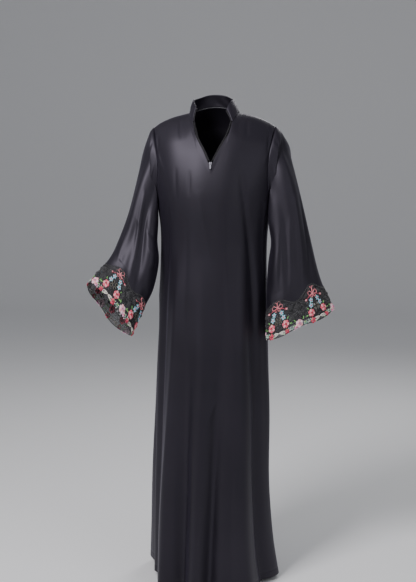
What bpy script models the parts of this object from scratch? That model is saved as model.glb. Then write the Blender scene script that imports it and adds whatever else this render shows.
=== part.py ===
"""Floor-length loose abaya in its worn form, modelled as the pieces that are cut and sewn.

Metres, +Z up. The front faces -Y, and the wearer's left is at +X. The origin is the centre of
the neck at the height of the high shoulder points, where the garment hangs from its wearer.
"""
import math

import bmesh
import bpy
import numpy as np

# Which side of the wearer a piece is on
RIGHT = -1
LEFT = 1

# Driving sizes
HEM_Z = -1.47
HEM_RISE_AT_BACK = 0.025
UNDERARM_Z = -0.285
CLOTH_WALL = 0.0016
LACE_WALL = 0.0012
SEAM_GAP = 0.0003
LAY_GAP = 0.0009
SHOULDER_ROLL = 0.09
NECK_HALF_WIDTH = 0.078
NECK_RISE = 0.045
BACK_NECK_Z = 0.012
BACK_NECK_DROP = 0.022
COLLAR_CORNER = (0.0600, -0.0430)

# The upper edge lies between these heights, found by halving the stretch between them
UPPER_EDGE_SEARCH = (-0.20, 0.03)
HALVINGS = 40

# How the folds grow towards the hem, and how the rows crowd towards the shoulder
FOLD_GROWTH = 0.8
ROW_CROWDING = 1.25

# Grid counts
BODY_ROWS = 11
ARMHOLE_ROWS = 12
SLIT_COLUMNS = 5
FRONT_NECK_COLUMNS = 2
BACK_NECK_COLUMNS = 4
SHOULDER_COLUMNS = 12
COLLAR_ROWS = 3

# Half width of the body ring: height, value
HALF_WIDTH = {
    RIGHT: (
        (-1.47, 0.206), (-1.25, 0.200), (-0.92, 0.188), (-0.60, 0.176), (-0.47, 0.168),
        (-0.36, 0.169), (-0.285, 0.180), (-0.20, 0.194), (-0.10, 0.200), (0.04, 0.200),
    ),
    LEFT: (
        (-1.47, 0.203), (-1.36, 0.186), (-1.20, 0.174), (-0.92, 0.173), (-0.60, 0.167),
        (-0.36, 0.169), (-0.285, 0.180), (-0.20, 0.194), (-0.10, 0.200), (0.04, 0.200),
    ),
}

# Depth of the body ring in front of the side seams, and behind them: height, value
FRONT_DEPTH = (
    (-1.47, 0.206), (-1.20, 0.185), (-0.90, 0.164), (-0.60, 0.148), (-0.42, 0.140),
    (-0.30, 0.142), (-0.25, 0.140), (-0.175, 0.127), (-0.135, 0.115), (-0.10, 0.100),
    (-0.07, 0.085), (-0.043, 0.072), (0.04, 0.058),
)
BACK_DEPTH = (
    (-1.47, 0.191), (-1.20, 0.170), (-0.90, 0.150), (-0.60, 0.132), (-0.42, 0.113),
    (-0.30, 0.116), (-0.20, 0.122), (-0.12, 0.118), (-0.05, 0.104), (0.012, 0.090),
    (0.04, 0.086),
)

# How far round from the centre a panel's armhole edge lies: height, degrees
ARMHOLE_ANGLE = (
    (-0.285, 90.0), (-0.275, 77.0), (-0.25, 67.5), (-0.20, 61.0), (-0.15, 60.0),
    (-0.10, 64.0), (-0.052, 72.0), (0.04, 78.0),
)

# Height of the shoulder seam: distance from the centre, value
SHOULDER_LINE = (
    (0.078, -0.010), (0.140, -0.027), (0.172, -0.042), (0.190, -0.055), (0.205, -0.068),
)

# Height of the front's open edge, from the zip's foot to the high shoulder point
SLIT_EDGE = {
    RIGHT: (
        (0.0, -0.1765), (0.0035, -0.1750), (0.0240, -0.1300), (0.0400, -0.1030), (0.0500, -0.0830),
        (0.0570, -0.0640), (0.0600, -0.0430), (0.0710, -0.0230), (0.0780, -0.0100),
    ),
    LEFT: (
        (0.0, -0.1765), (0.0035, -0.1750), (0.0220, -0.1350), (0.0390, -0.1020), (0.0500, -0.0830),
        (0.0570, -0.0640), (0.0600, -0.0430), (0.0710, -0.0230), (0.0780, -0.0100),
    ),
}

# Folds of the body. Angles run round from the front's centre, + to the wearer's left, 180 at
# the back: where it starts, angle there, angle at the hem, half width in degrees, height at the hem
BODY_FOLDS = (
    (-0.42, -56, -66, 7.0, -0.020),
    (-0.42, -36, -42, 7.5, 0.026),
    (-0.70, -21, -26, 7.0, -0.028),
    (-0.45, -9, -11, 7.5, 0.018),
    (-0.66, 12, 0, 7.0, -0.030),
    (-0.42, 30, 34, 11.0, 0.022),
    (-0.24, 44, 60, 7.5, -0.024),
    (-0.34, 74, 80, 8.0, 0.012),
    (-0.45, 104, 108, 8.0, -0.020),
    (-0.30, 122, 126, 9.0, 0.022),
    (-0.50, 140, 142, 8.0, -0.026),
    (-0.36, 158, 158, 9.0, 0.024),
    (-0.55, 177, 175, 8.0, -0.026),
    (-0.30, 196, 198, 9.0, 0.022),
    (-0.50, 212, 211, 7.5, -0.024),
    (-0.42, 226, 225, 7.5, 0.020),
    (-0.60, 240, 238, 7.0, -0.024),
    (-0.50, 256, 251, 8.0, 0.027),
    (-0.58, 276, 274, 8.5, -0.034),
)

# Sleeve sections below the armhole: top edge x, y, z, under edge x, y, z, front depth, back depth
SLEEVE_SECTIONS = {
    LEFT: (
        (0.1900, 0.000, -0.054, 0.1810, 0.000, -0.285, 0.060, 0.066),
        (0.2120, 0.000, -0.082, 0.1860, -0.004, -0.335, 0.057, 0.066),
        (0.2335, 0.000, -0.140, 0.1805, -0.030, -0.405, 0.057, 0.062),
        (0.2645, 0.000, -0.262, 0.1725, -0.056, -0.490, 0.056, 0.058),
        (0.2970, -0.010, -0.400, 0.1700, -0.072, -0.550, 0.053, 0.056),
        (0.3290, -0.020, -0.527, 0.1700, -0.084, -0.603, 0.054, 0.058),
        (0.3740, -0.020, -0.621, 0.1715, -0.094, -0.708, 0.056, 0.061),
    ),
    RIGHT: (
        (-0.1900, 0.000, -0.054, -0.1810, 0.000, -0.285, 0.060, 0.066),
        (-0.2080, 0.000, -0.086, -0.1860, -0.004, -0.335, 0.057, 0.066),
        (-0.2340, -0.008, -0.185, -0.1780, -0.033, -0.400, 0.055, 0.062),
        (-0.2660, -0.028, -0.318, -0.1690, -0.062, -0.470, 0.054, 0.056),
        (-0.2960, -0.062, -0.412, -0.1810, -0.084, -0.545, 0.051, 0.055),
        (-0.3190, -0.094, -0.465, -0.2070, -0.098, -0.605, 0.050, 0.055),
        (-0.3697, -0.155, -0.532, -0.2450, -0.140, -0.694, 0.050, 0.058),
    ),
}

# Folds of the sleeves. Angles run round from the top edge, 90 at the front: first section,
# last section, angle at the first, angle at the last, half width in degrees, height
SLEEVE_FOLDS = {
    LEFT: (
        (0.6, 4.6, 50, 62, 17, 0.009),
        (0.8, 4.6, 96, 98, 17, -0.007),
        (1.2, 4.6, 140, 136, 17, 0.006),
        (0.8, 4.6, 250, 236, 20, 0.008),
        (0.6, 4.4, 304, 296, 18, -0.006),
    ),
    RIGHT: (
        (0.6, 4.6, 44, 58, 17, 0.008),
        (1.0, 4.6, 92, 88, 17, -0.009),
        (1.4, 4.6, 132, 128, 18, 0.008),
        (2.2, 4.4, 334, 338, 16, -0.006),
        (0.8, 4.6, 246, 240, 20, 0.008),
    ),
}
SLEEVE_STATIONS = (
    0.0, 0.35, 0.7, 1.1, 1.5, 1.9, 2.3, 2.7, 3.1, 3.5, 3.9, 4.3, 4.65, 4.95, 5.286,
)
STATIONS_TO_TURN = 2.0
STATION_STEP = 0.05
LACE_SECTION_LENGTH = 0.105
CUFF_SAMPLES = 361

# Lace trim: four repeats round a cuff, upper edge highest and lower edge lowest at each motif
REPEATS = 4
MOTIF_PLACE = {LEFT: 0.155, RIGHT: 0.168}
LACE_PEAK = 0.112
LACE_VALLEY = 0.084
LOWER_SCALLOP = 0.007
LACE_LEVELS = (0.068, 0.0560, 0.0480, 0.0445, 0.0365, 0.018)
OPEN_LEVELS = (2, 4)
REPEAT_STEPS = (-0.50, -0.39, -0.28, -0.18, -0.082, -0.022, 0.022, 0.082, 0.18, 0.28, 0.39)
OPEN_STEPS = (-0.082, 0.022)
FOLD_LINES = 3
FOLD_SPACING = 0.0125

# Collar: lean towards the neck in degrees, and height, from the right front round to the left
COLLAR_LEAN = ((0.0, 14.0), (0.25, 18.0), (0.5, 14.0), (0.75, 24.0), (1.0, 36.0))
COLLAR_HEIGHT = ((0.0, 0.047), (0.3, 0.041), (0.5, 0.039), (0.7, 0.041), (1.0, 0.050))

# Zip at the front opening
TAPE_SHOWN = 0.005
TAPE_HIDDEN = 0.008
TAPE_WALL = 0.0010
TAPE_DEPTHS = (0.0004, 0.0008, 0.0024)
TAPE_LEAST_SLOPE = 0.2
SLIDER_Z = -0.1715
SLIDER_SLOPE_LENGTH = 0.01
SLIDER_SIZE = (0.0088, 0.0084, 0.0024)
SLIDER_TAPER = 0.68
SLIDER_OFF = 0.0005
BAIL_HALF_LENGTH = 0.0034
BAIL_WIDTH = 0.0014
BAIL_WALL = 0.0008
PIN_RADIUS = 0.00045
PIN_CLEARANCE = 0.00025
PULL_ARM_INNER = 0.00115
PULL_ARM_OUTER = 0.0021

# Outline of the pull tab: distance below the pin, width as a share of the arms' spread
PULL_OUTLINE = (
    (-PIN_RADIUS, 1.0), (PIN_RADIUS, 1.0), (0.0042, 1.0), (0.0075, 1.12), (0.0135, 1.12),
    (0.0158, 0.86), (0.0167, 0.55), (0.0170, 0.25),
)
PULL_WINDOW_CELL = (1, 1)

# A point behind a panel's wall lies at this share of its distance from the centre line
WALL_SIDE_SHARE = 0.3

# Material colours, roughness and metallic value
FINISHES = {
    "black_cloth": ((0.018, 0.016, 0.020), 0.78, 0.0),
    "black_lace": ((0.012, 0.011, 0.013), 0.70, 0.0),
    "zip_tape": ((0.014, 0.013, 0.015), 0.85, 0.0),
    "zip_metal": ((0.62, 0.62, 0.64), 0.30, 1.0),
}


def clear_scene():
    """Start from an empty scene."""
    for item in list(bpy.data.objects):
        bpy.data.objects.remove(item, do_unlink=True)


def material(name):
    """Make or fetch one of the finishes."""
    if name in bpy.data.materials:
        return bpy.data.materials[name]
    color, roughness, metallic = FINISHES[name]
    made = bpy.data.materials.new(name)
    made.use_nodes = True
    shader = made.node_tree.nodes["Principled BSDF"]
    shader.inputs["Base Color"].default_value = (*color, 1.0)
    shader.inputs["Roughness"].default_value = roughness
    shader.inputs["Metallic"].default_value = metallic
    made.diffuse_color = (*color, 1.0)
    return made


def eased(table, place):
    """Read a table of places and values along a smooth curve through its rows."""
    places = np.array([row[0] for row in table], dtype=float)
    values = np.array([row[1:] for row in table], dtype=float)
    slopes = np.gradient(values, places, axis=0)
    place = float(np.clip(place, places[0], places[-1]))
    low = int(np.clip(np.searchsorted(places, place) - 1, 0, len(places) - 2))
    span = places[low + 1] - places[low]
    t = (place - places[low]) / span
    result = (
        (2 * t**3 - 3 * t**2 + 1) * values[low]
        + (t**3 - 2 * t**2 + t) * span * slopes[low]
        + (3 * t**2 - 2 * t**3) * values[low + 1]
        + (t**3 - t**2) * span * slopes[low + 1]
    )
    return result if len(result) > 1 else float(result[0])


def side_angle(z):
    """Angle of a panel's side edge: the side seam, or the armhole above the underarm."""
    if z <= UNDERARM_Z:
        return math.radians(90.0)
    return math.radians(eased(ARMHOLE_ANGLE, z))


def fold_height(angle, z):
    """How far the body folds move the ring out, at an angle in degrees and a height."""
    total = 0.0
    for start, first, last, half_width, height in BODY_FOLDS:
        if z >= start:
            continue
        grown = (start - z) / (start - HEM_Z)
        middle = first + (last - first) * grown
        away = (angle - middle + 180.0) % 360.0 - 180.0
        total += height * grown**FOLD_GROWTH * math.exp(-((away / half_width) ** 2))
    return total


def shoulder_height(x):
    """Height of the shoulder seam, carried on over the neck as a dome."""
    if x < NECK_HALF_WIDTH:
        return SHOULDER_LINE[0][1] + NECK_RISE * (1 - (x / NECK_HALF_WIDTH) ** 2)
    return eased(SHOULDER_LINE, x)


def roll_over_shoulder(x, z):
    """Share of the body's depth at a height: the cloth rolls over the shoulder to its seam."""
    below = np.clip((shoulder_height(abs(x)) - z) / SHOULDER_ROLL, 0.0, 1.0)
    return math.sqrt(1 - (1 - below) ** 2)


def ring_point(side, back, angle, z):
    """A point of the body's outer surface, angle measured from the panel's centre."""
    degrees = math.degrees(angle)
    fold = fold_height(side * (180.0 - degrees if back else degrees), z)
    x = side * (eased(HALF_WIDTH[side], z) + fold) * math.sin(angle)
    depth = (eased(BACK_DEPTH if back else FRONT_DEPTH, z) + fold) * math.cos(angle)
    depth = max(depth * roll_over_shoulder(x, z), SEAM_GAP / 2)
    return np.array((x, depth if back else -depth, z))


def front_point(side, x, z):
    """The point of the front's outer surface at a distance from the centre and a height."""
    angle = math.asin(x / eased(HALF_WIDTH[side], z))
    return ring_point(side, False, angle, z)


def column_share(side, x, z):
    """Share of the way from the panel's centre to its side edge."""
    return math.asin(x / eased(HALF_WIDTH[side], z)) / side_angle(z)


def top_edge_height(side, back, x):
    """Height of a panel's upper edge: slit, neckline and shoulder seam."""
    if x >= NECK_HALF_WIDTH:
        return shoulder_height(x)
    if back:
        return BACK_NECK_Z - BACK_NECK_DROP * (x / NECK_HALF_WIDTH) ** 2
    table = SLIT_EDGE[side]
    return float(np.interp(x, [row[0] for row in table], [row[1] for row in table]))


def column_top(side, back, share):
    """Height at which a column of a panel meets the upper edge."""
    low, high = UPPER_EDGE_SEARCH
    for _ in range(HALVINGS):
        middle = (low + high) / 2
        x = eased(HALF_WIDTH[side], middle) * math.sin(share * side_angle(middle))
        if top_edge_height(side, back, x) > middle:
            low = middle
        else:
            high = middle
    return low


def column_shares(side, back):
    """Columns from the centre to the side edge, with one at each corner of the upper edge."""
    neck = column_share(side, NECK_HALF_WIDTH, SHOULDER_LINE[0][1])
    shoulder = np.linspace(neck, 1.0, SHOULDER_COLUMNS + 1)[1:]
    if back:
        return np.concatenate((np.linspace(0.0, neck, BACK_NECK_COLUMNS + 1), shoulder))
    corner = column_share(side, *COLLAR_CORNER)
    slit = np.linspace(0.0, corner, SLIT_COLUMNS + 1)
    front_neck = np.linspace(corner, neck, FRONT_NECK_COLUMNS + 1)[1:]
    return np.concatenate((slit, front_neck, shoulder))


def hem_height(back, share):
    """Height of the hem, a little higher at the back than at the front."""
    turned = math.cos(share * math.pi / 2) * (1 if back else -1)
    return HEM_Z + HEM_RISE_AT_BACK * (1 + turned) / 2


def row_heights(hem, top):
    """Heights of a column's points, from the hem to its top, with a row at the underarm."""
    lower = np.linspace(hem, UNDERARM_Z, BODY_ROWS + 1)
    steps = np.linspace(0.0, 1.0, ARMHOLE_ROWS + 1)[1:]
    upper = UNDERARM_Z + (top - UNDERARM_Z) * (1 - (1 - steps) ** ROW_CROWDING)
    return np.concatenate((lower, upper))


def panel_column(side, back, share):
    """The points of one column of a panel."""
    heights = row_heights(hem_height(back, share), column_top(side, back, share))
    return [ring_point(side, back, share * side_angle(z), z) for z in heights]


def panel_grid(back):
    """The outer surface of the front or back, from the wearer's right to the left."""
    right = [panel_column(RIGHT, back, share) for share in column_shares(RIGHT, back)[:0:-1]]
    left = [panel_column(LEFT, back, share) for share in column_shares(LEFT, back)]
    return np.array(right + left)


def grid_normals(points, closed, outward):
    """Unit normals of a grid. outward is a point grid that the normals have to face from."""
    if closed:
        along = np.roll(points, -1, axis=0) - np.roll(points, 1, axis=0)
    else:
        along = np.gradient(points, axis=0)
    across = np.gradient(points, axis=1)
    normals = np.cross(along, across)
    normals /= np.linalg.norm(normals, axis=2, keepdims=True)
    if np.sum(normals * (points - outward)) < 0:
        normals = -normals
    return normals


def solid_from_grids(name, outer, inner, finish, closed=False, left_out=()):
    """Close two matching grids into one solid, with the cells in left_out cut through."""
    columns, rows = outer.shape[:2]
    spans = columns if closed else columns - 1
    mesh = bmesh.new()
    skins = [
        [[mesh.verts.new(grid[i, j]) for j in range(rows)] for i in range(columns)]
        for grid in (outer, inner)
    ]
    present = {
        (i, j) for i in range(spans) for j in range(rows - 1) if (i, j) not in left_out
    }
    for i, j in sorted(present):
        after = (i + 1) % columns
        before = (i - 1) % spans if closed else i - 1
        ahead = after if closed else i + 1
        corners = ((i, j), (after, j), (after, j + 1), (i, j + 1))
        mesh.faces.new([skins[0][a][b] for a, b in corners])
        mesh.faces.new([skins[1][a][b] for a, b in reversed(corners)])
        sides = (
            ((i, j - 1), corners[0], corners[1]),
            ((ahead, j), corners[1], corners[2]),
            ((i, j + 1), corners[2], corners[3]),
            ((before, j), corners[3], corners[0]),
        )
        for neighbour, first, second in sides:
            if neighbour not in present:
                edge = [skins[0][a][b] for a, b in (second, first)]
                edge += [skins[1][a][b] for a, b in (first, second)]
                mesh.faces.new(edge)
    loose = [vert for vert in mesh.verts if not vert.link_faces]
    bmesh.ops.delete(mesh, geom=loose, context="VERTS")
    return finish_object(name, mesh, finish)


def finish_object(name, mesh, finish, smooth_angle=40.0):
    """Turn a bmesh into a named object with its material."""
    bmesh.ops.recalc_face_normals(mesh, faces=mesh.faces)
    data = bpy.data.meshes.new(name)
    mesh.to_mesh(data)
    mesh.free()
    data.materials.append(material(finish))
    data.shade_smooth()
    data.set_sharp_from_angle(angle=math.radians(smooth_angle))
    item = bpy.data.objects.new(name, data)
    bpy.context.collection.objects.link(item)
    return item


def make_panel(name, back):
    """The front or the back, one piece of cloth each."""
    outer = panel_grid(back)
    axis = outer.copy()
    axis[..., 0] *= WALL_SIDE_SHARE
    axis[..., 1] = 0.0
    normals = grid_normals(outer, False, axis)
    seam = np.abs(outer[..., 1]) < SEAM_GAP
    normals[seam, 1] = 0.0
    normals /= np.linalg.norm(normals, axis=2, keepdims=True)
    return solid_from_grids(name, outer, outer - CLOTH_WALL * normals, "black_cloth")


def armhole_loop(side):
    """The seam points of an armhole: down the front from the shoulder, and up the back."""
    front = panel_column(side, False, 1.0)[BODY_ROWS:]
    back = panel_column(side, True, 1.0)[BODY_ROWS:]
    loop = np.array(front[::-1] + back[1:-1])
    loop[[0, ARMHOLE_ROWS], 1] = 0.0
    return loop


def sleeve_frame(side, station):
    """Centre, half edge vector, front normal and the two depths of a sleeve section."""
    rows = [(index, *row) for index, row in enumerate(SLEEVE_SECTIONS[side])]
    read = eased(rows, station)
    ahead = eased(rows, min(station + STATION_STEP, len(rows) - 1))
    behind = eased(rows, max(station - STATION_STEP, 0.0))
    travel = (ahead[:3] + ahead[3:6] - behind[:3] - behind[3:6]) / 2
    half = (read[:3] - read[3:6]) / 2
    normal = np.cross(half, travel) * -side
    normal /= np.linalg.norm(normal)
    turned = min(station / STATIONS_TO_TURN, 1.0)
    normal = normal * turned + np.array((0.0, -1.0, 0.0)) * (1 - turned)
    normal /= np.linalg.norm(normal)
    return (read[:3] + read[3:6]) / 2, half, normal, read[6], read[7]


def sleeve_point(side, station, angle):
    """A point of a sleeve's outer surface."""
    centre, half, normal, front, back = sleeve_frame(side, station)
    fold = 0.0
    for first, last, angle_first, angle_last, half_width, height in SLEEVE_FOLDS[side]:
        run = (station - first) / (last - first)
        if not 0.0 < run < 1.0:
            continue
        crest = angle_first + (angle_last - angle_first) * run
        away = (math.degrees(angle) - crest + 180.0) % 360.0 - 180.0
        fold += height * math.sin(math.pi * run) * math.exp(-((away / half_width) ** 2))
    depth = front if math.sin(angle) > 0 else back
    away_from_middle = half * math.cos(angle) + normal * depth * math.sin(angle)
    outwards = half / np.linalg.norm(half) * math.cos(angle) + normal * math.sin(angle)
    return centre + away_from_middle + fold * outwards


def make_sleeve(name, side):
    """A long wide sleeve, sewn to the armhole and ending under the lace."""
    seam = armhole_loop(side)
    count = len(seam)
    outer = np.empty((count, len(SLEEVE_STATIONS), 3))
    middle = np.empty_like(outer)
    outer[:, 0] = seam + np.array((side * SEAM_GAP, 0.0, 0.0))
    middle[:, 0] = seam.mean(axis=0)
    for row, station in enumerate(SLEEVE_STATIONS[1:], start=1):
        middle[:, row] = sleeve_frame(side, station)[0]
        for index in range(count):
            outer[index, row] = sleeve_point(side, station, 2 * math.pi * index / count)
    normals = grid_normals(outer, True, middle)
    first = seam - seam.mean(axis=0)
    first[:, 0] = 0.0
    normals[:, 0] = first / np.linalg.norm(first, axis=1, keepdims=True)
    return solid_from_grids(name, outer, outer - CLOTH_WALL * normals, "black_cloth", closed=True)


def cuff_angles(side):
    """Arc shares round the cuff's edge and the section angles that they belong to."""
    angles = np.linspace(0.0, 2 * math.pi, CUFF_SAMPLES)
    last = len(SLEEVE_SECTIONS[side]) - 1
    points = np.array([sleeve_point(side, last, angle) for angle in angles])
    steps = np.linalg.norm(np.diff(points, axis=0), axis=1)
    shares = np.concatenate(((0.0,), np.cumsum(steps)))
    return shares / shares[-1], angles


def lace_surface_point(side, share, depth, shares, angles):
    """A point of the cuff at an arc share and a distance above its lower edge."""
    last = len(SLEEVE_SECTIONS[side]) - 1
    angle = float(np.interp(share, shares, angles))
    return sleeve_point(side, last - depth / LACE_SECTION_LENGTH, angle)


def make_lace_half(name, side, back):
    """Half of a cuff's lace trim, which laps over the sleeve's end and hangs below it."""
    shares, angles = cuff_angles(side)
    under = float(np.interp(math.pi, angles, shares))
    start, end = (under, 1.0) if back else (0.0, under)
    turn = FOLD_LINES * FOLD_SPACING
    lines = {start + line * FOLD_SPACING for line in range(FOLD_LINES + 1)}
    lines |= {end - line * FOLD_SPACING for line in range(FOLD_LINES + 1)}
    open_lines = set()
    for repeat in range(REPEATS + 1):
        for step in REPEAT_STEPS:
            share = MOTIF_PLACE[side] + (repeat + step) / REPEATS
            if start + turn < share < end - turn:
                lines.add(share)
                if step in OPEN_STEPS:
                    open_lines.add(share)
    lines = sorted(lines)
    outer = np.empty((len(lines), len(LACE_LEVELS) + 2, 3))
    middle = np.empty_like(outer)
    inset = SEAM_GAP / 2
    for i, share in enumerate(lines):
        wave = 0.5 + 0.5 * math.cos(2 * math.pi * REPEATS * (share - MOTIF_PLACE[side]))
        top = LACE_VALLEY + (LACE_PEAK - LACE_VALLEY) * wave
        levels = (top, *LACE_LEVELS, LOWER_SCALLOP * (1 - wave))
        place = min(max(share, start + inset), end - inset)
        for j, depth in enumerate(levels):
            outer[i, j] = lace_surface_point(side, place, depth, shares, angles)
            middle[i, j] = sleeve_frame(side, len(SLEEVE_SECTIONS[side]) - 1)[0]
    normals = grid_normals(outer, False, middle)
    inner = outer + LAY_GAP * normals
    outer = inner + LACE_WALL * normals
    left_out = {
        (i, j) for i, share in enumerate(lines) if share in open_lines for j in OPEN_LEVELS
    }
    return solid_from_grids(name, outer, inner, "black_lace", left_out=left_out)


def neck_seam():
    """The seam points of the neck, from the right front corner round the back to the left."""
    def upper(side, back, shares):
        tops = [(share, column_top(side, back, share)) for share in shares]
        return [ring_point(side, back, share * side_angle(z), z) for share, z in tops]

    last_slit = SLIT_COLUMNS
    last_front = SLIT_COLUMNS + FRONT_NECK_COLUMNS
    right_front = upper(RIGHT, False, column_shares(RIGHT, False)[last_slit:last_front + 1])
    left_front = upper(LEFT, False, column_shares(LEFT, False)[last_slit:last_front + 1])
    right_back = upper(RIGHT, True, column_shares(RIGHT, True)[:BACK_NECK_COLUMNS])
    left_back = upper(LEFT, True, column_shares(LEFT, True)[1:BACK_NECK_COLUMNS])
    return np.array(right_front + right_back[::-1] + left_back + left_front[::-1])


def make_collar(name):
    """The stand collar, one band that is open at the front."""
    seam = neck_seam()
    steps = np.linalg.norm(np.diff(seam, axis=0), axis=1)
    shares = np.concatenate(((0.0,), np.cumsum(steps))) / steps.sum()
    outer = np.empty((len(seam), COLLAR_ROWS + 1, 3))
    inner = np.empty_like(outer)
    up = np.array((0.0, 0.0, 1.0))
    for i, (point, share) in enumerate(zip(seam, shares)):
        inward = np.array((-point[0], -point[1], 0.0))
        inward /= np.linalg.norm(inward)
        lean = math.radians(eased(COLLAR_LEAN, share))
        rise = up * math.cos(lean) + inward * math.sin(lean)
        thick = inward * math.cos(lean) - up * math.sin(lean)
        for j, travel in enumerate(np.linspace(0.0, eased(COLLAR_HEIGHT, share), COLLAR_ROWS + 1)):
            outer[i, j] = point + up * 2 * SEAM_GAP + rise * travel
            inner[i, j] = outer[i, j] + (inward if j == 0 else thick) * CLOTH_WALL
    return solid_from_grids(name, outer, inner, "black_cloth")


def make_zip_tape(name, side):
    """The woven tape behind one edge of the front opening."""
    shares = column_shares(side, False)[1:SLIT_COLUMNS + 1]
    edge = []
    for share in shares:
        z = column_top(side, False, share)
        edge.append((eased(HALF_WIDTH[side], z) * math.sin(share * side_angle(z)), z))
    edge = np.array(edge)
    run = np.gradient(edge, axis=0)
    run /= np.linalg.norm(run, axis=1, keepdims=True)
    outer = np.empty((len(edge), 3, 3))
    for i, ((x, z), (run_x, run_z)) in enumerate(zip(edge, run)):
        to_opening = np.array((-run_z, run_x))
        reach = min(TAPE_SHOWN, (x - 2 * SEAM_GAP) / max(run_z, TAPE_LEAST_SLOPE))
        for j, travel in enumerate((reach, 0.0, -TAPE_HIDDEN)):
            at = np.array((x, z)) + to_opening * travel
            outer[i, j] = front_point(side, max(at[0], 2 * SEAM_GAP), at[1])
    axis = outer.copy()
    axis[..., 1] = 0.0
    normals = grid_normals(outer, False, axis)
    outer -= normals * (CLOTH_WALL + np.array(TAPE_DEPTHS)[None, :, None])
    return solid_from_grids(name, outer, outer - TAPE_WALL * normals, "zip_tape")


def slider_frame():
    """Origin on the cloth, direction down the cloth and direction away from it."""
    here = ring_point(LEFT, False, 0.0, SLIDER_Z)
    below = ring_point(LEFT, False, 0.0, SLIDER_Z - SLIDER_SLOPE_LENGTH)
    down = (below - here) / np.linalg.norm(below - here)
    away = np.cross(down, np.array((1.0, 0.0, 0.0)))
    if away[1] > 0:
        away = -away
    return here, down, away


def prism(mesh, outline, place_near, place_far):
    """Add a prism between two copies of an outline, each put in place by its own function."""
    near = [mesh.verts.new(place_near(point)) for point in outline]
    far = [mesh.verts.new(place_far(point)) for point in outline]
    mesh.faces.new(near)
    mesh.faces.new(far[::-1])
    for i in range(len(outline)):
        j = (i + 1) % len(outline)
        mesh.faces.new((near[j], near[i], far[i], far[j]))


def pin_height():
    """Distance of the pull's pin from the cloth."""
    return SLIDER_OFF + SLIDER_SIZE[2] + PIN_CLEARANCE + PIN_RADIUS


def make_zip_slider(name):
    """The slider: a tapered plate with a bail that the pull hangs from."""
    here, down, away = slider_frame()
    across = np.array((1.0, 0.0, 0.0))
    width, length, thick = SLIDER_SIZE
    half = width / 2
    foot_half = half * SLIDER_TAPER
    plate = [
        (-half, -length / 2), (-half, -length / 8), (-foot_half, length / 2),
        (foot_half, length / 2), (half, -length / 8), (half, -length / 2),
    ]
    body = bmesh.new()
    prism(
        body, plate,
        lambda p: here + across * p[0] + down * p[1] + away * SLIDER_OFF,
        lambda p: here + across * p[0] + down * p[1] + away * (SLIDER_OFF + thick),
    )
    item = finish_object(name, body, "zip_metal")
    foot = SLIDER_OFF + thick / 2
    under = pin_height() + PIN_RADIUS + PIN_CLEARANCE
    over = under + BAIL_WALL
    far = BAIL_HALF_LENGTH
    near = BAIL_HALF_LENGTH - BAIL_WALL
    slope = BAIL_WALL
    arch = [
        (-far, foot), (-far, over - slope), (-far + slope, over), (far - slope, over),
        (far, over - slope), (far, foot), (near, foot), (near, under), (-near, under), (-near, foot),
    ]
    bail = bmesh.new()
    prism(
        bail, arch,
        lambda p: here + down * p[0] + away * p[1] - across * BAIL_WIDTH / 2,
        lambda p: here + down * p[0] + away * p[1] + across * BAIL_WIDTH / 2,
    )
    cutter = finish_object(name + "_bail", bail, "zip_metal")
    join = item.modifiers.new("bail", "BOOLEAN")
    join.operation = "UNION"
    join.object = cutter
    cutter.hide_render = True
    cutter.display_type = "WIRE"
    return item


def make_zip_pull(name):
    """The pull tab: a pin through the bail, two arms and a flat tab with a round end."""
    here, down, away = slider_frame()
    across = np.array((1.0, 0.0, 0.0))
    lines = (-PULL_ARM_OUTER, -PULL_ARM_INNER, PULL_ARM_INNER, PULL_ARM_OUTER)
    middle = np.array([
        [across * line * width + down * length for length, width in PULL_OUTLINE]
        for line in lines
    ])
    half = away * PIN_RADIUS
    window = {PULL_WINDOW_CELL}
    item = solid_from_grids(name, middle + half, middle - half, "zip_metal", left_out=window)
    item.location = here + away * pin_height()
    return item


def build():
    """Make every piece of the garment."""
    clear_scene()
    make_panel("front_panel", False)
    make_panel("back_panel", True)
    make_collar("collar")
    for side, word in ((RIGHT, "right"), (LEFT, "left")):
        make_sleeve("sleeve_" + word, side)
        make_lace_half("lace_cuff_" + word + "_front", side, False)
        make_lace_half("lace_cuff_" + word + "_back", side, True)
        make_zip_tape("zip_tape_" + word, side)
    make_zip_slider("zip_slider")
    make_zip_pull("zip_pull")


build()
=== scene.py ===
"""Looks of a floor-length loose abaya: cloth, lace, embroidery, zip, studio and camera.

Metres, +Z up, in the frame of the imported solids. The front faces -Y, and the wearer's left is
at +X. The surfaces follow the same sections as the solids, with finer folds on them.
"""
import math

import bmesh
import bpy
import numpy as np
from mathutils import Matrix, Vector
from mathutils.bvhtree import BVHTree


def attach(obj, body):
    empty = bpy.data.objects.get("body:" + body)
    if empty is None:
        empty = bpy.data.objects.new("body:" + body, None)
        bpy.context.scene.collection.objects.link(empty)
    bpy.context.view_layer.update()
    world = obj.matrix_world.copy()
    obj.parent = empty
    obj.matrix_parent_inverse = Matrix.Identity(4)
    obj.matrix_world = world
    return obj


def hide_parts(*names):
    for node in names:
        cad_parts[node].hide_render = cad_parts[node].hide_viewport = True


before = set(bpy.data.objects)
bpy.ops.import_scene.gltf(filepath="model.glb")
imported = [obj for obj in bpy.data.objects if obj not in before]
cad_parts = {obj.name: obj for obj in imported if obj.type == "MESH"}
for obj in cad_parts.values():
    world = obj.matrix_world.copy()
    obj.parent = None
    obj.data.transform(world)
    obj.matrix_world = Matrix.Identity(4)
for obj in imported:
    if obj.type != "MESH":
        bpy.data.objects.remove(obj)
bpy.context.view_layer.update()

RIGHT = -1
LEFT = 1
SIDE_WORD = {RIGHT: "right", LEFT: "left"}

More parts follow.
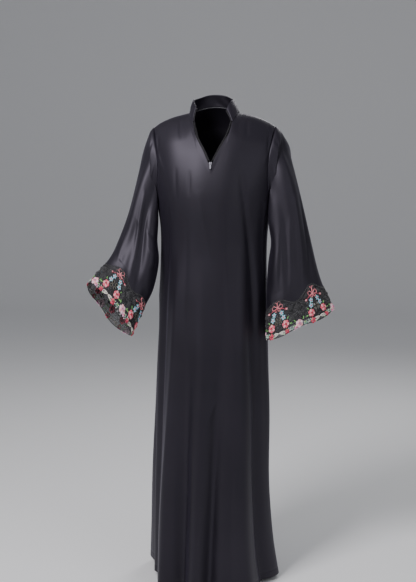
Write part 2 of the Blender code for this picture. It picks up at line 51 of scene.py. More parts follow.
# Driving sizes, as the solids have them
HEM_Z = -1.47
HEM_RISE_AT_BACK = 0.025
UNDERARM_Z = -0.285
CLOTH_WALL = 0.0016
LACE_WALL = 0.0012
SEAM_GAP = 0.0003
LAY_GAP = 0.0009
SHOULDER_ROLL = 0.09
NECK_HALF_WIDTH = 0.078
NECK_RISE = 0.045
BACK_NECK_Z = 0.012
BACK_NECK_DROP = 0.022
COLLAR_CORNER = (0.0600, -0.0430)
UPPER_EDGE_SEARCH = (-0.20, 0.03)
HALVINGS = 30
FOLD_GROWTH = 0.8
ROW_CROWDING = 1.25
SLEEVE_ROW_CROWDING = 1.1

# Half width of the body ring: height, value
HALF_WIDTH = {
    RIGHT: (
        (-1.47, 0.206), (-1.25, 0.200), (-0.92, 0.188), (-0.60, 0.176), (-0.47, 0.168),
        (-0.36, 0.169), (-0.285, 0.180), (-0.20, 0.194), (-0.10, 0.200), (0.04, 0.200),
    ),
    LEFT: (
        (-1.47, 0.203), (-1.36, 0.186), (-1.20, 0.174), (-0.92, 0.173), (-0.60, 0.167),
        (-0.36, 0.169), (-0.285, 0.180), (-0.20, 0.194), (-0.10, 0.200), (0.04, 0.200),
    ),
}

# Depth of the body ring in front of the side seams, and behind them: height, value
FRONT_DEPTH = (
    (-1.47, 0.206), (-1.20, 0.185), (-0.90, 0.164), (-0.60, 0.148), (-0.42, 0.140),
    (-0.30, 0.142), (-0.25, 0.140), (-0.175, 0.127), (-0.135, 0.115), (-0.10, 0.100),
    (-0.07, 0.085), (-0.043, 0.072), (0.04, 0.058),
)
BACK_DEPTH = (
    (-1.47, 0.191), (-1.20, 0.170), (-0.90, 0.150), (-0.60, 0.132), (-0.42, 0.113),
    (-0.30, 0.116), (-0.20, 0.122), (-0.12, 0.118), (-0.05, 0.104), (0.012, 0.090),
    (0.04, 0.086),
)

# How far round from the centre a panel's armhole edge lies: height, degrees
ARMHOLE_ANGLE = (
    (-0.285, 90.0), (-0.275, 77.0), (-0.25, 67.5), (-0.20, 61.0), (-0.15, 60.0),
    (-0.10, 64.0), (-0.052, 72.0), (0.04, 78.0),
)

# Height of the shoulder seam: distance from the centre, value
SHOULDER_LINE = (
    (0.078, -0.010), (0.140, -0.027), (0.172, -0.042), (0.190, -0.055), (0.205, -0.068),
)

# Height of the front's open edge, from the zip's foot to the high shoulder point
SLIT_EDGE = {
    RIGHT: (
        (0.0, -0.1765), (0.0035, -0.1750), (0.0240, -0.1300), (0.0400, -0.1030), (0.0500, -0.0830),
        (0.0570, -0.0640), (0.0600, -0.0430), (0.0710, -0.0230), (0.0780, -0.0100),
    ),
    LEFT: (
        (0.0, -0.1765), (0.0035, -0.1750), (0.0220, -0.1350), (0.0390, -0.1020), (0.0500, -0.0830),
        (0.0570, -0.0640), (0.0600, -0.0430), (0.0710, -0.0230), (0.0780, -0.0100),
    ),
}

# Folds of the body. Angles run round from the front's centre, + to the wearer's left, 180 at
# the back: where it starts, angle there, angle at the hem, half width in degrees, height at the hem
BODY_FOLDS = (
    (-0.42, -56, -66, 7.0, -0.020),
    (-0.42, -36, -42, 7.5, 0.026),
    (-0.70, -21, -26, 7.0, -0.028),
    (-0.45, -9, -11, 7.5, 0.018),
    (-0.66, 12, 0, 7.0, -0.030),
    (-0.42, 30, 34, 11.0, 0.022),
    (-0.24, 44, 60, 7.5, -0.024),
    (-0.34, 74, 80, 8.0, 0.012),
    (-0.45, 104, 108, 8.0, -0.020),
    (-0.30, 122, 126, 9.0, 0.022),
    (-0.50, 140, 142, 8.0, -0.026),
    (-0.36, 158, 158, 9.0, 0.024),
    (-0.55, 177, 175, 8.0, -0.026),
    (-0.30, 196, 198, 9.0, 0.022),
    (-0.50, 212, 211, 7.5, -0.024),
    (-0.42, 226, 225, 7.5, 0.020),
    (-0.60, 240, 238, 7.0, -0.024),
    (-0.50, 256, 251, 8.0, 0.027),
    (-0.58, 276, 274, 8.5, -0.034),
)

# Sleeve sections below the armhole: top edge x, y, z, under edge x, y, z, front depth, back depth
SLEEVE_SECTIONS = {
    LEFT: (
        (0.1900, 0.000, -0.054, 0.1810, 0.000, -0.285, 0.060, 0.066),
        (0.2120, 0.000, -0.082, 0.1860, -0.004, -0.335, 0.057, 0.066),
        (0.2335, 0.000, -0.140, 0.1805, -0.030, -0.405, 0.057, 0.062),
        (0.2645, 0.000, -0.262, 0.1725, -0.056, -0.490, 0.056, 0.058),
        (0.2970, -0.010, -0.400, 0.1700, -0.072, -0.550, 0.053, 0.056),
        (0.3290, -0.020, -0.527, 0.1700, -0.084, -0.603, 0.054, 0.058),
        (0.3740, -0.020, -0.621, 0.1715, -0.094, -0.708, 0.056, 0.061),
    ),
    RIGHT: (
        (-0.1900, 0.000, -0.054, -0.1810, 0.000, -0.285, 0.060, 0.066),
        (-0.2080, 0.000, -0.086, -0.1860, -0.004, -0.335, 0.057, 0.066),
        (-0.2340, -0.008, -0.185, -0.1780, -0.033, -0.400, 0.055, 0.062),
        (-0.2660, -0.028, -0.318, -0.1690, -0.062, -0.470, 0.054, 0.056),
        (-0.2960, -0.062, -0.412, -0.1810, -0.084, -0.545, 0.051, 0.055),
        (-0.3190, -0.094, -0.465, -0.2070, -0.098, -0.605, 0.050, 0.055),
        (-0.3697, -0.155, -0.532, -0.2450, -0.140, -0.694, 0.050, 0.058),
    ),
}
LAST_SECTION = 6.0

# Folds of the sleeves. Angles run round from the top edge, 90 at the front: first section,
# last section, angle at the first, angle at the last, half width in degrees, height
SLEEVE_FOLDS = {
    LEFT: (
        (0.6, 4.6, 50, 62, 17, 0.009),
        (0.8, 4.6, 96, 98, 17, -0.007),
        (1.2, 4.6, 140, 136, 17, 0.006),
        (0.8, 4.6, 250, 236, 20, 0.008),
        (0.6, 4.4, 304, 296, 18, -0.006),
    ),
    RIGHT: (
        (0.6, 4.6, 44, 58, 17, 0.008),
        (1.0, 4.6, 92, 88, 17, -0.009),
        (1.4, 4.6, 132, 128, 18, 0.008),
        (2.2, 4.4, 334, 338, 16, -0.006),
        (0.8, 4.6, 246, 240, 20, 0.008),
    ),
}
FIRST_STATION = 0.35
CLOTH_END_STATION = 5.286
STATIONS_TO_TURN = 2.0
STATION_STEP = 0.05

# Lace trim: four repeats round a cuff, upper edge highest and lower edge lowest at each motif
REPEATS = 4
MOTIF_PLACE = {LEFT: 0.155, RIGHT: 0.168}
LACE_SECTION_LENGTH = 0.105
LACE_PEAK = 0.112
LACE_VALLEY = 0.084
LOWER_SCALLOP = 0.007

# Collar: lean towards the neck in degrees, and height, from the right front round to the left
COLLAR_LEAN = ((0.0, 14.0), (0.25, 18.0), (0.5, 14.0), (0.75, 24.0), (1.0, 36.0))
COLLAR_HEIGHT = ((0.0, 0.047), (0.3, 0.041), (0.5, 0.039), (0.7, 0.041), (1.0, 0.050))
COLLAR_BOW = 0.0012

# Unevenness of the collar: height, radians round it and up it, and how soon it sets in
COLLAR_RIPPLE = (0.0009, 38, 4, 3)

# Fine creases of the body: height, half width, then its path as angle in degrees and height
BODY_CREASES = (
    (0.0028, 0.009, ((-36, -0.46), (-38, -0.868), (-40, -1.03), (-45, -1.22), (-52, -1.62))),
    (-0.0034, 0.011, ((-50, -0.26), (-54, -0.492), (-56, -0.676), (-60, -0.90), (-62, -1.15))),
    (0.0022, 0.007, ((12, -0.850), (7, -0.884), (-3, -0.956), (-7, -1.00))),
    (-0.0016, 0.006, ((-27, -1.05), (-23, -1.092), (-19, -1.15))),
    (-0.0042, 0.012, ((27, -0.18), (32, -0.252), (48, -0.46), (55, -0.676), (57, -0.84))),
    (0.0026, 0.008, ((62, -0.25), (67, -0.348), (72, -0.62), (74, -0.82))),
    (-0.0024, 0.006, ((57, -0.035), (58, -0.11), (57, -0.19))),
    (0.0020, 0.006, ((66, -0.045), (61, -0.116), (53, -0.17))),
    (-0.0030, 0.009, ((-58, -0.075), (-62, -0.17), (-74, -0.290), (-80, -0.46))),
    (0.0024, 0.007, ((-66, -0.075), (-58, -0.14), (-48, -0.20))),
    (-0.0014, 0.005, ((-19, -0.190), (-20, -0.270))),
    (-0.0014, 0.006, ((-33, -0.180), (-35, -0.280))),
    (0.0014, 0.012, ((-12, -0.250), (-6, -0.36), (2, -0.48))),
    (-0.0020, 0.0045, ((-21, -0.035), (-15, -0.078), (-11, -0.108), (-5, -0.138))),
    (0.0014, 0.006, ((-15, -0.045), (-9, -0.095), (-5, -0.120))),
    (-0.0018, 0.004, ((-31, -0.025), (-29, -0.095))),
    (-0.0016, 0.003, ((-21, -0.015), (-20, -0.055))),
    (-0.0016, 0.003, ((26, -0.012), (27, -0.045))),
    (-0.0018, 0.005, ((31, -0.025), (32, -0.095))),
    (0.0016, 0.010, ((16, -0.30), (18, -0.50), (22, -0.72))),
    (-0.0014, 0.010, ((-24, -0.34), (-26, -0.52), (-25, -0.72))),
    (0.0014, 0.006, ((-31, -1.00), (-33, -1.20), (-34, -1.60))),
    (-0.0014, 0.006, ((24, -1.02), (22, -1.22), (21, -1.62))),
    (0.0016, 0.006, ((44, -0.98), (47, -1.18), (48, -1.60))),
    (-0.0026, 0.010, ((116, -0.20), (124, -0.50), (132, -0.84))),
    (0.0022, 0.009, ((146, -0.10), (152, -0.40), (150, -0.74))),
    (-0.0022, 0.010, ((172, -0.08), (177, -0.34), (176, -0.62))),
    (0.0024, 0.010, ((202, -0.13), (204, -0.45), (208, -0.78))),
    (-0.0028, 0.010, ((240, -0.18), (240, -0.50), (245, -0.88))),
    (0.0020, 0.007, ((128, -0.86), (134, -1.10), (136, -1.62))),
    (-0.0018, 0.007, ((190, -0.80), (186, -1.10), (184, -1.62))),
    (0.0018, 0.006, ((216, -0.98), (218, -1.20), (219, -1.62))),
    (-0.0016, 0.006, ((262, -0.92), (264, -1.14), (265, -1.62))),
    (0.0018, 0.007, ((100, -0.36), (96, -0.62), (94, -0.92))),
)
EDGE_FADE = 0.07
TOP_FADE = 0.03
NEAR_SEAM = 0.004
AXIS_SPREAD = 0.3
SEAM_DIP = 0.0009
SEAM_DIP_WIDTH = 0.005

# Pressed line of the turned hem: its row, depth and half width
HEM_STITCH_ROW = 5
HEM_GROOVE = 0.0007
HEM_GROOVE_WIDTH = 0.0011

# Long soft waves of hanging cloth: height, count round the body, radians a metre up, offset
DRAPE_WAVES = ((0.0008, 7, 5.0, 0.6), (0.0006, 12, -8.0, 2.1), (0.0005, 3, 17.0, 1.2))
SLEEVE_WAVE_SHARE = 0.6
SLEEVE_WAVE_STRETCH = 2

# Fine creases of the sleeves: height, half width, then its path as section and angle in degrees
SLEEVE_CREASES = {
    RIGHT: (
        (0.0046, 0.010, ((2.1, 66), (2.6, 74), (3.95, 86), (5.1, 90))),
        (-0.0034, 0.010, ((2.2, 92), (3.9, 106), (5.2, 110))),
        (-0.0044, 0.014, ((2.9, 68), (3.6, 63), (4.7, 56))),
        (0.0026, 0.009, ((3.4, 44), (4.0, 44), (5.0, 47))),
        (-0.0030, 0.009, ((2.1, 158), (2.5, 128), (2.7, 104))),
        (0.0026, 0.008, ((2.5, 166), (3.0, 138), (3.2, 116))),
        (-0.0024, 0.008, ((3.1, 170), (3.5, 146), (3.8, 128))),
        (-0.0026, 0.008, ((0.15, 48), (0.8, 60), (1.7, 62))),
        (0.0024, 0.008, ((0.15, 92), (0.9, 104), (1.8, 112))),
        (-0.0020, 0.007, ((0.15, 128), (0.8, 142), (1.5, 150))),
        (-0.0026, 0.010, ((0.2, 232), (1.6, 226), (3.0, 214))),
        (0.0026, 0.010, ((0.2, 272), (1.6, 270), (3.4, 262))),
        (-0.0024, 0.009, ((1.4, 306), (2.6, 300), (4.4, 290))),
        (-0.0020, 0.008, ((2.2, 14), (3.2, 12), (4.6, 8))),
    ),
    LEFT: (
        (0.0042, 0.010, ((2.7, 56), (3.6, 66), (5.3, 86))),
        (-0.0040, 0.012, ((2.9, 34), (3.9, 43), (5.0, 62))),
        (0.0022, 0.008, ((2.8, 80), (3.6, 92), (5.1, 108))),
        (-0.0022, 0.008, ((2.6, 112), (3.8, 124), (5.1, 132))),
        (0.0026, 0.009, ((0.9, 20), (1.65, 34), (2.6, 62))),
        (-0.0024, 0.008, ((0.15, 46), (0.8, 52), (1.7, 54))),
        (0.0022, 0.007, ((0.15, 84), (0.9, 96), (1.7, 104))),
        (-0.0024, 0.008, ((0.15, 118), (0.9, 130), (1.8, 140))),
        (-0.0026, 0.010, ((0.2, 238), (1.6, 230), (3.0, 222))),
        (0.0026, 0.010, ((0.2, 276), (1.6, 272), (3.4, 268))),
        (-0.0024, 0.009, ((1.2, 312), (2.6, 306), (4.6, 298))),
    ),
}
SECTION_SPACING = 0.105
SLEEVE_RADIUS = 0.085
BODY_RADIUS = 0.180
CREASE_PIECES = 9
CREASE_TAPER = 0.7

# Grid counts, and the step that a surface's direction is read with
DIRECTION_STEP = 0.0015
COLLAR_FRONT_COLUMNS = 10
COLLAR_BACK_COLUMNS = 34
CUFF_ANGLES = 721
SLIT_COLUMNS = 14
FRONT_NECK_COLUMNS = 5
BACK_NECK_COLUMNS = 18
SHOULDER_COLUMNS = 42
HEM_ROWS = (0.0, 0.003, 0.010, 0.017, 0.0203, 0.0215, 0.0227, 0.029)
BODY_ROWS = 150
ARMHOLE_ROWS = 52
SLEEVE_COLUMNS = 132
SLEEVE_ROWS = 120
COLLAR_ROWS = 16
LACE_COLUMNS = 360
LACE_ROWS = 66

# Raised stitching: shares of the outline that a patch's rings lie at, and a cord's cross-section
DOME_RINGS = (1.0, 0.80, 0.45)
CORD_PROFILE = (-1.0, -0.6, 0.0, 0.6, 1.0)
CORD_END = 0.3

# Raised patches of satin stitch: height, lift off the lace
DOMES = {
    "loop heart": (0.0022, 0.0004), "bud": (0.0022, 0.0), "sepal": (0.0014, 0.0006),
    "star petal": (0.0015, 0.0), "star heart": (0.0017, 0.0007), "rose petal": (0.0020, 0.0),
    "inner rose petal": (0.0019, 0.0011), "leaf": (0.0013, 0.0), "dot": (0.0015, 0.0),
    "picot": (0.0010, 0.0),
}

# Cords of stitching: half width, height, lift off the lace
CORDS = {
    # The second loop cord, thin and lifted onto the first, is a painted highlight along the top of each
    # loop.
    "loop": (0.00110, 0.0014, 0.0), "loop painted highlight": (0.00046, 0.0006, 0.00125),
    "bud stem": (0.0009, 0.0010, 0.0), "leaf rib": (0.0004, 0.0007, 0.0012),
    "window hole": (0.0009, 0.0010, 0.0), "window ring": (0.0011, 0.0012, 0.0),
    "vine": (0.0007, 0.0006, 0.0), "mint vine": (0.0008, 0.0009, 0.0),
    "scroll": (0.0009, 0.0012, 0.0), "edge": (0.0011, 0.0011, 0.0),
}

# Single petals: length, width, taper, count of points
LOOP_HEART = (0.006, 0.005, 0.0, 12)
BUD_PETAL = (0.0105, 0.0084, 0.35, 16)
DOT = (0.0042, 0.0042, 0.0, 10)
PICOT = (0.0036, 0.0040, 0.2, 8)

# Loop petals of the large flower: degrees from its upright on each side, length, width
LOOP_PETALS = ((28.0, 0.0205, 0.0180), (80.0, 0.0190, 0.0172), (140.0, 0.0130, 0.0105))
LOOP_TAPER = 0.85
LOOP_POINTS = 28
LOOP_BASE_OFF = 0.0006
LOOP_HEART_DROP = 0.003

# Bud and its stem. Sepal: length, width, count of points
BUD_SEPAL = (0.0062, 0.0030, 10)
BUD_SEPAL_TURN = 38
BUD_BEND = 0.0016
STEM_POINTS = 10

# Star flower: petals, then width as a share of its size
STAR_PETALS = 5
STAR_WIDTH = 0.62
STAR_POINTS = 12

# Leaf: width and places of the rib as shares of its length
LEAF_WIDTH = 0.42
LEAF_RIB = (0.0, 0.5, 0.9)
LEAF_GRAIN = 60
LEAF_POINTS = 14
RIB_POINTS = 6

# Rose petals in shares of the rose's radius: length, width, taper, count of points
ROSE_OUTER_PETAL = (0.86, 0.94, 0.2, 14)
ROSE_INNER_PETAL = (0.58, 0.66, 0.1, 12)
ROSE_ROOT = 0.18
ROSE_PETALS = 6
ROSE_INNER_PETALS = 3
ROSE_INNER_START = 30

# Rolled heart of a rose: radians, points, then its start, growth and thread in shares of the radius
SPIRAL_END = 3.4 * math.pi
SPIRAL_POINTS = 22
SPIRAL_START = 0.10
SPIRAL_GROWTH = 0.022
SPIRAL_THREAD = 0.07
SPIRAL_HEIGHT = 0.0011
SPIRAL_LIFT = 0.0026

# Start of the random draws, and how far they turn the embroidery in degrees
DICE_START = 20
FLOWER_SWING = 5
STAR_SWING = 20
ROSE_SWING = 60
MINT_LEAF_SWING = (10, 40)

# One coloured repeat: across on each side of its middle, height above the edge
FLOWER_HEIGHT = 0.0865
BUD_TIP = (0.0270, 0.0760)
BUD_ROOT = (0.004, -0.003)
VINE = ((0.007, 0.078), (0.0135, 0.068), (0.0185, 0.0535), (0.022, 0.041))
VINE_POINTS = 16
SIDE_ROSE = (0.0245, 0.0320)
SIDE_ROSE_RADIUS = 0.0118

# Its stars: across, height, size, turn
STARS = ((0.0140, 0.0680, 0.0084, 90), (0.0190, 0.0535, 0.0090, 60))

# Leaves of a repeat and between two: across, height, length, turn, turn towards the side, threads
GREEN_LEAF = ("leaf_thread", "light_leaf_thread")
SIDE_LEAVES = (
    (0.030, 0.0435, 0.0105, 90, -38, GREEN_LEAF),
    (0.036, 0.0290, 0.0110, 90, -96, GREEN_LEAF),
    (0.0250, 0.0180, 0.0120, 270, 34, GREEN_LEAF),
)
EDGE_LEAVES = ((0.013, 0.0060, 0.0085, 270, 62, ("light_leaf_thread", "mint_thread")),)
BETWEEN_LEAVES = (
    (0.0125, 0.0250, 0.0110, 90, -30, GREEN_LEAF),
    (0.0130, 0.0150, 0.0095, 90, -80, ("light_leaf_thread", "light_leaf_thread")),
)

# Pale loops at the edge: length, width, lift off the lace
EDGE_LOOPS = ((0.0185, 0.0098, 0.0), (0.0118, 0.0052, 0.0004))
EDGE_LOOP_ROOT = (0.0016, 0.0120)
EDGE_LOOP_TURN = 98
EDGE_LOOP_TAPER = 0.35
EDGE_LOOP_POINTS = 22
EDGE_LOOP_CORD = (0.00125, 0.0014)

# Single roses of a repeat and between two: across, height, radius, threads, petals
PINK_ROSE = ("rose_thread", "blush_thread", "crimson_thread")
# The black roses' rolled hearts are in a lighter black, a painted sheen.
BLACK_ROSE = ("black_thread", "black_thread", "glossy_thread")
REPEAT_ROSES = (
    (0.0255, 0.0085, 0.0092, ("crimson_thread", "rose_thread", "wine_thread"), 5),
    (-0.0270, 0.0095, 0.0078, ("wine_thread", "crimson_thread", "rose_thread"), 5),
)
BETWEEN_ROSES = (
    (0.002, 0.0175, 0.0125, ("pale_thread", "blush_thread", "orchid_thread"), 6),
    (0.0145, 0.0100, 0.0062, ("orchid_thread", "pale_thread", "rose_thread"), 5),
)

# Mint vine between two repeats: across and height of its start and steps, swing, and its dots
MINT_COUNT = 9
MINT_START = (0.0120, 0.0095)
MINT_STEP = (0.0040, 0.0003)
MINT_SWING = 0.0022
MINT_POINTS = 42
MINT_LEAF = 0.0066
DOT_DROP = 0.003

# Openwork window. Holes: across, height above the edge, width, height. Ring: width, height
WINDOW_MIDDLE = 0.04625
WINDOW_RING = (0.0284, 0.0256)
WINDOW_RING_POINTS = 40
WINDOW_HOLE_POINTS = 20
WINDOW_HOLES = (
    (-0.00715, 0.0405, 0.0083, 0.0080), (0.00715, 0.0405, 0.0083, 0.0080),
    (-0.00715, 0.0520, 0.0083, 0.0080), (0.00715, 0.0520, 0.0083, 0.0080),
)

# Black work between two motifs: across, height above the edge, then radius, or length and turn
BLACK_ROSES = (
    (0.000, 0.0640, 0.0118), (-0.0270, 0.0700, 0.0100), (0.0275, 0.0705, 0.0100),
    (-0.0165, 0.0440, 0.0100), (0.0170, 0.0430, 0.0100), (-0.0440, 0.0870, 0.0078),
    (0.0440, 0.0865, 0.0078), (-0.0600, 0.1020, 0.0060), (0.0605, 0.1015, 0.0060),
)
BLACK_LEAVES = (
    (-0.0370, 0.0600, 0.0120, 150), (0.0370, 0.0600, 0.0120, 30), (-0.0080, 0.0530, 0.0100, 250),
    (0.0085, 0.0525, 0.0100, 290), (-0.0280, 0.0480, 0.0120, 195), (0.0285, 0.0470, 0.0120, 345),
    (0.0000, 0.0745, 0.0085, 90), (-0.0520, 0.0930, 0.0110, 130), (0.0520, 0.0925, 0.0110, 50),
    (-0.0300, 0.0380, 0.0105, 230), (0.0300, 0.0370, 0.0105, 310), (0.0000, 0.0360, 0.0095, 270),
    (-0.0420, 0.0690, 0.0105, 115), (0.0425, 0.0690, 0.0105, 65), (-0.0140, 0.0740, 0.0080, 110),
    (0.0145, 0.0745, 0.0080, 70), (-0.0360, 0.0800, 0.0085, 70), (0.0365, 0.0800, 0.0085, 110),
    (-0.0690, 0.1030, 0.0075, 100), (0.0690, 0.1030, 0.0075, 80),
)
BLACK_SCROLLS = (
    ((-0.046, 0.056), (-0.036, 0.062), (-0.024, 0.058), (-0.010, 0.050), (0.000, 0.048)),
    ((0.046, 0.056), (0.036, 0.062), (0.024, 0.058), (0.010, 0.050), (0.000, 0.048)),
    ((-0.050, 0.078), (-0.043, 0.076), (-0.036, 0.079), (-0.030, 0.084)),
    ((0.050, 0.078), (0.043, 0.076), (0.036, 0.079), (0.030, 0.084)),
    ((-0.015, 0.078), (-0.008, 0.081), (0.000, 0.079), (0.008, 0.081), (0.015, 0.078)),
    ((-0.052, 0.104), (-0.062, 0.109), (-0.068, 0.108)),
    ((0.052, 0.104), (0.062, 0.109), (0.068, 0.108)),
)

# Cords and picots along the lace's edges: points round the cuff, and how far in they lie
EDGE_POINTS = 240
EDGE_CORD_INSET = 0.0012
PICOT_INSET = 0.0008
PICOT_EVERY = 3
SCROLL_POINTS = 24

# Net low between two motifs: height above the edge, pitch, and strand as a share of the pitch
NET_HEIGHT = 0.030
NET_PITCH = 0.0021
NET_STRAND = 0.17
NET_FADE = 0.006

# Embroidery threads: colour, lighter colour
THREADS = {
    "rose_thread": ((0.80, 0.055, 0.125), (0.94, 0.180, 0.250)),
    "blush_thread": ((0.93, 0.340, 0.370), (0.98, 0.560, 0.560)),
    "crimson_thread": ((0.46, 0.006, 0.040), (0.68, 0.030, 0.095)),
    "heart_thread": ((0.66, 0.012, 0.110), (0.86, 0.060, 0.220)),
    "wine_thread": ((0.34, 0.008, 0.045), (0.56, 0.030, 0.100)),
    "blue_thread": ((0.085, 0.400, 0.600), (0.240, 0.620, 0.800)),
    # A lighter blue laid only in the middles of the star petals, a painted highlight.
    "ice_thread": ((0.300, 0.660, 0.820), (0.540, 0.820, 0.920)),
    "leaf_thread": ((0.070, 0.290, 0.055), (0.180, 0.480, 0.120)),
    "light_leaf_thread": ((0.250, 0.520, 0.140), (0.430, 0.700, 0.270)),
    "mint_thread": ((0.320, 0.680, 0.480), (0.560, 0.860, 0.690)),
    "cream_thread": ((0.740, 0.700, 0.600), (0.880, 0.860, 0.780)),
    "pale_thread": ((0.840, 0.500, 0.620), (0.930, 0.740, 0.800)),
    "orchid_thread": ((0.660, 0.160, 0.400), (0.820, 0.360, 0.560)),
    "olive_thread": ((0.110, 0.100, 0.070), (0.220, 0.210, 0.160)),
    "black_thread": ((0.010, 0.0095, 0.011), (0.026, 0.025, 0.029)),
    # A lighter black for the raised ribs, scrolls and rose hearts of the black work, a painted sheen;
    # its shader is the same as the other threads'.
    "glossy_thread": ((0.016, 0.0155, 0.018), (0.044, 0.043, 0.050)),
    "stitch_thread": ((0.014, 0.013, 0.016), (0.030, 0.028, 0.034)),
}

# Topstitching and the placket of the zip
STITCH_PITCH = 0.0030
STITCH_LENGTH = 0.0023
STITCH_RADIUS = 0.00024
STITCH_SINK = 0.0002
STITCH_SIDES = 6
COLLAR_STITCH_ROWS = (0.08, 0.90)
PLACKET_WIDTH = 0.0065
SLIDER_FOOT_Z = -0.182
PLACKET_END_Z = -0.216
PLACKET_END_ANGLE = 0.004
PLACKET_END_POINTS = 12

# Zip: teeth and tape. Rows of teeth up a collar's end: first and last share of its height, count
SLIT_START = 0.0035
SLIT_POINTS = 80
SLIT_STEP = 0.002
LEAST_SLOPE = 0.2
COLLAR_TEETH_ROWS = (0.04, 0.97, 14)
COLLAR_TAPE_SHOWN = 0.004
TAPE_SHOWN = 0.005
TAPE_HIDDEN = 0.008
TAPE_WALL = 0.0010
TAPE_CLEAR = 0.0004
TOOTH_PITCH = 0.0021
TOOTH_DEPTH = 0.0026
TOOTH_SIZE = (0.0026, 0.0013, 0.0017)
CHAMFERED_CORNERS = (
    (-1.0, -0.55), (-0.55, -1.0), (0.55, -1.0), (1.0, -0.55),
    (1.0, 0.55), (0.55, 1.0), (-0.55, 1.0), (-1.0, 0.55),
)

# Finishes of the solids that stay
SOLID_FINISHES = {
    "zip_slider": "zip_metal", "zip_pull": "zip_metal",
    "zip_tape_right": "zip_tape", "zip_tape_left": "zip_tape",
}
METAL_EDGE = 0.0002
METAL_EDGE_STEPS = 2
FINISHES = {}

# Studio floor and wall
STAGE_WIDTH = 26.0
STAGE_NEAR = -10.0
STAGE_FAR = 9.5
STAGE_HEIGHT = 9.0
STAGE_BEND = 2.4
STAGE_BEND_STEPS = 16
FLOOR_DROP = 0.004

# Lights: name, place, aim, size, power, colour
LIGHTS = (
    ("key", (-1.35, -2.1, 1.6), (0.0, 0.0, -0.25), 1.1, 105.0, (1.0, 0.98, 1.0)),
    ("fill", (2.4, -2.2, 0.6), (0.0, 0.0, -0.5), 2.4, 18.0, (0.96, 0.97, 1.0)),
    ("rim", (0.9, 2.6, 1.6), (0.0, 0.0, -0.4), 1.6, 35.0, (1.0, 1.0, 1.0)),
)
WORLD_COLOUR = (0.82, 0.84, 0.88, 1)
WORLD_STRENGTH = 0.28

# Camera at the photograph's viewpoint
FRAME_WIDTH = 416
FOCAL_PIXELS = 956.0
SENSOR_WIDTH = 36.0
CAMERA_PLACE = (0.29330, -2.98570, -0.279)
CAMERA_DEGREES = (84.5625, 0.0, 6.0)


def read_curve(table, places):
    """Read a table of places and values along a smooth curve through its rows."""
    rows = np.array(table, dtype=float)
    knots, values = rows[:, 0], rows[:, 1:]
    slopes = np.gradient(values, knots, axis=0)
    places = np.clip(np.asarray(places, dtype=float), knots[0], knots[-1])
    low = np.clip(np.searchsorted(knots, places) - 1, 0, len(knots) - 2)
    span = (knots[low + 1] - knots[low])[..., None]
    t = (places - knots[low])[..., None] / span
    result = (
        (2 * t**3 - 3 * t**2 + 1) * values[low]
        + (t**3 - 2 * t**2 + t) * span * slopes[low]
        + (3 * t**2 - 2 * t**3) * values[low + 1]
        + (t**3 - t**2) * span * slopes[low + 1]
    )
    return result[..., 0] if values.shape[1] == 1 else result


def smooth_step(value):
    """Rise from 0 to 1 with soft ends."""
    value = np.clip(value, 0.0, 1.0)
    return value * value * (3 - 2 * value)


def unit(vectors):
    """Vectors of length one."""
    return vectors / np.linalg.norm(vectors, axis=-1, keepdims=True)


def distance_along(path):
    """Distance along a path to each of its points."""
    steps = np.linalg.norm(np.diff(path, axis=0), axis=1)
    return np.concatenate(((0.0,), np.cumsum(steps)))


def crease_sum(a, b, creases, a_size, b_size):
    """Height of soft ridges and troughs, each along its own path with tapered ends.

    a and b are the surface's two coordinates, and a_size and b_size turn them into metres.
    """
    total = np.zeros(np.broadcast(a, b).shape)
    for height, half_width, path in creases:
        rows = [(index, *point) for index, point in enumerate(path)]
        line = read_curve(rows, np.linspace(0, len(path) - 1, CREASE_PIECES + 1))
        line = line * np.array((a_size, b_size))
        nearest = np.full(total.shape, np.inf)
        run = np.zeros(total.shape)
        for index in range(CREASE_PIECES):
            start, step = line[index], line[index + 1] - line[index]
            along = ((a * a_size - start[0]) * step[0] + (b * b_size - start[1]) * step[1])
            along = np.clip(along / (step @ step), 0.0, 1.0)
            gap = np.hypot(
                a * a_size - start[0] - along * step[0], b * b_size - start[1] - along * step[1]
            )
            closer = gap < nearest
            nearest = np.where(closer, gap, nearest)
            run = np.where(closer, (index + along) / CREASE_PIECES, run)
        taper = np.sin(np.pi * np.clip(run, 0.0, 1.0)).clip(0.0) ** CREASE_TAPER
        total += height * taper * np.exp(-((nearest / half_width) ** 2))
    return total


def side_angle(z):
    """Angle of a panel's side edge: the side seam, or the armhole above the underarm."""
    return np.radians(np.where(z <= UNDERARM_Z, 90.0, read_curve(ARMHOLE_ANGLE, z)))


def fold_height(degrees, z):
    """How far the body folds move the ring out."""
    total = np.zeros(np.broadcast(degrees, z).shape)
    for start, first, last, half_width, height in BODY_FOLDS:
        grown = np.clip((start - z) / (start - HEM_Z), 0.0, None)
        away = (degrees - first - (last - first) * grown + 180.0) % 360.0 - 180.0
        total += height * grown**FOLD_GROWTH * np.exp(-((away / half_width) ** 2))
    return total


def shoulder_height(x):
    """Height of the shoulder seam, carried on over the neck as a dome."""
    dome = SHOULDER_LINE[0][1] + NECK_RISE * (1 - (x / NECK_HALF_WIDTH) ** 2)
    return np.where(x < NECK_HALF_WIDTH, dome, read_curve(SHOULDER_LINE, x))


def ring_point(side, back, angle, z):
    """A point of the body's outer surface, angle measured from the panel's centre."""
    degrees = np.degrees(angle)
    fold = fold_height(side * (180.0 - degrees if back else degrees), z)
    x = side * (read_curve(HALF_WIDTH[side], z) + fold) * np.sin(angle)
    below = np.clip((shoulder_height(np.abs(x)) - z) / SHOULDER_ROLL, 0.0, 1.0)
    roll = np.sqrt(1 - (1 - below) ** 2)
    depth = (read_curve(BACK_DEPTH if back else FRONT_DEPTH, z) + fold) * np.cos(angle) * roll
    depth = np.maximum(depth, SEAM_GAP / 2)
    return np.stack(np.broadcast_arrays(x, depth if back else -depth, z), axis=-1)


def column_share(side, x, z):
    """Share of the way from the panel's centre to its side edge."""
    return float(np.arcsin(x / read_curve(HALF_WIDTH[side], z)) / side_angle(z))


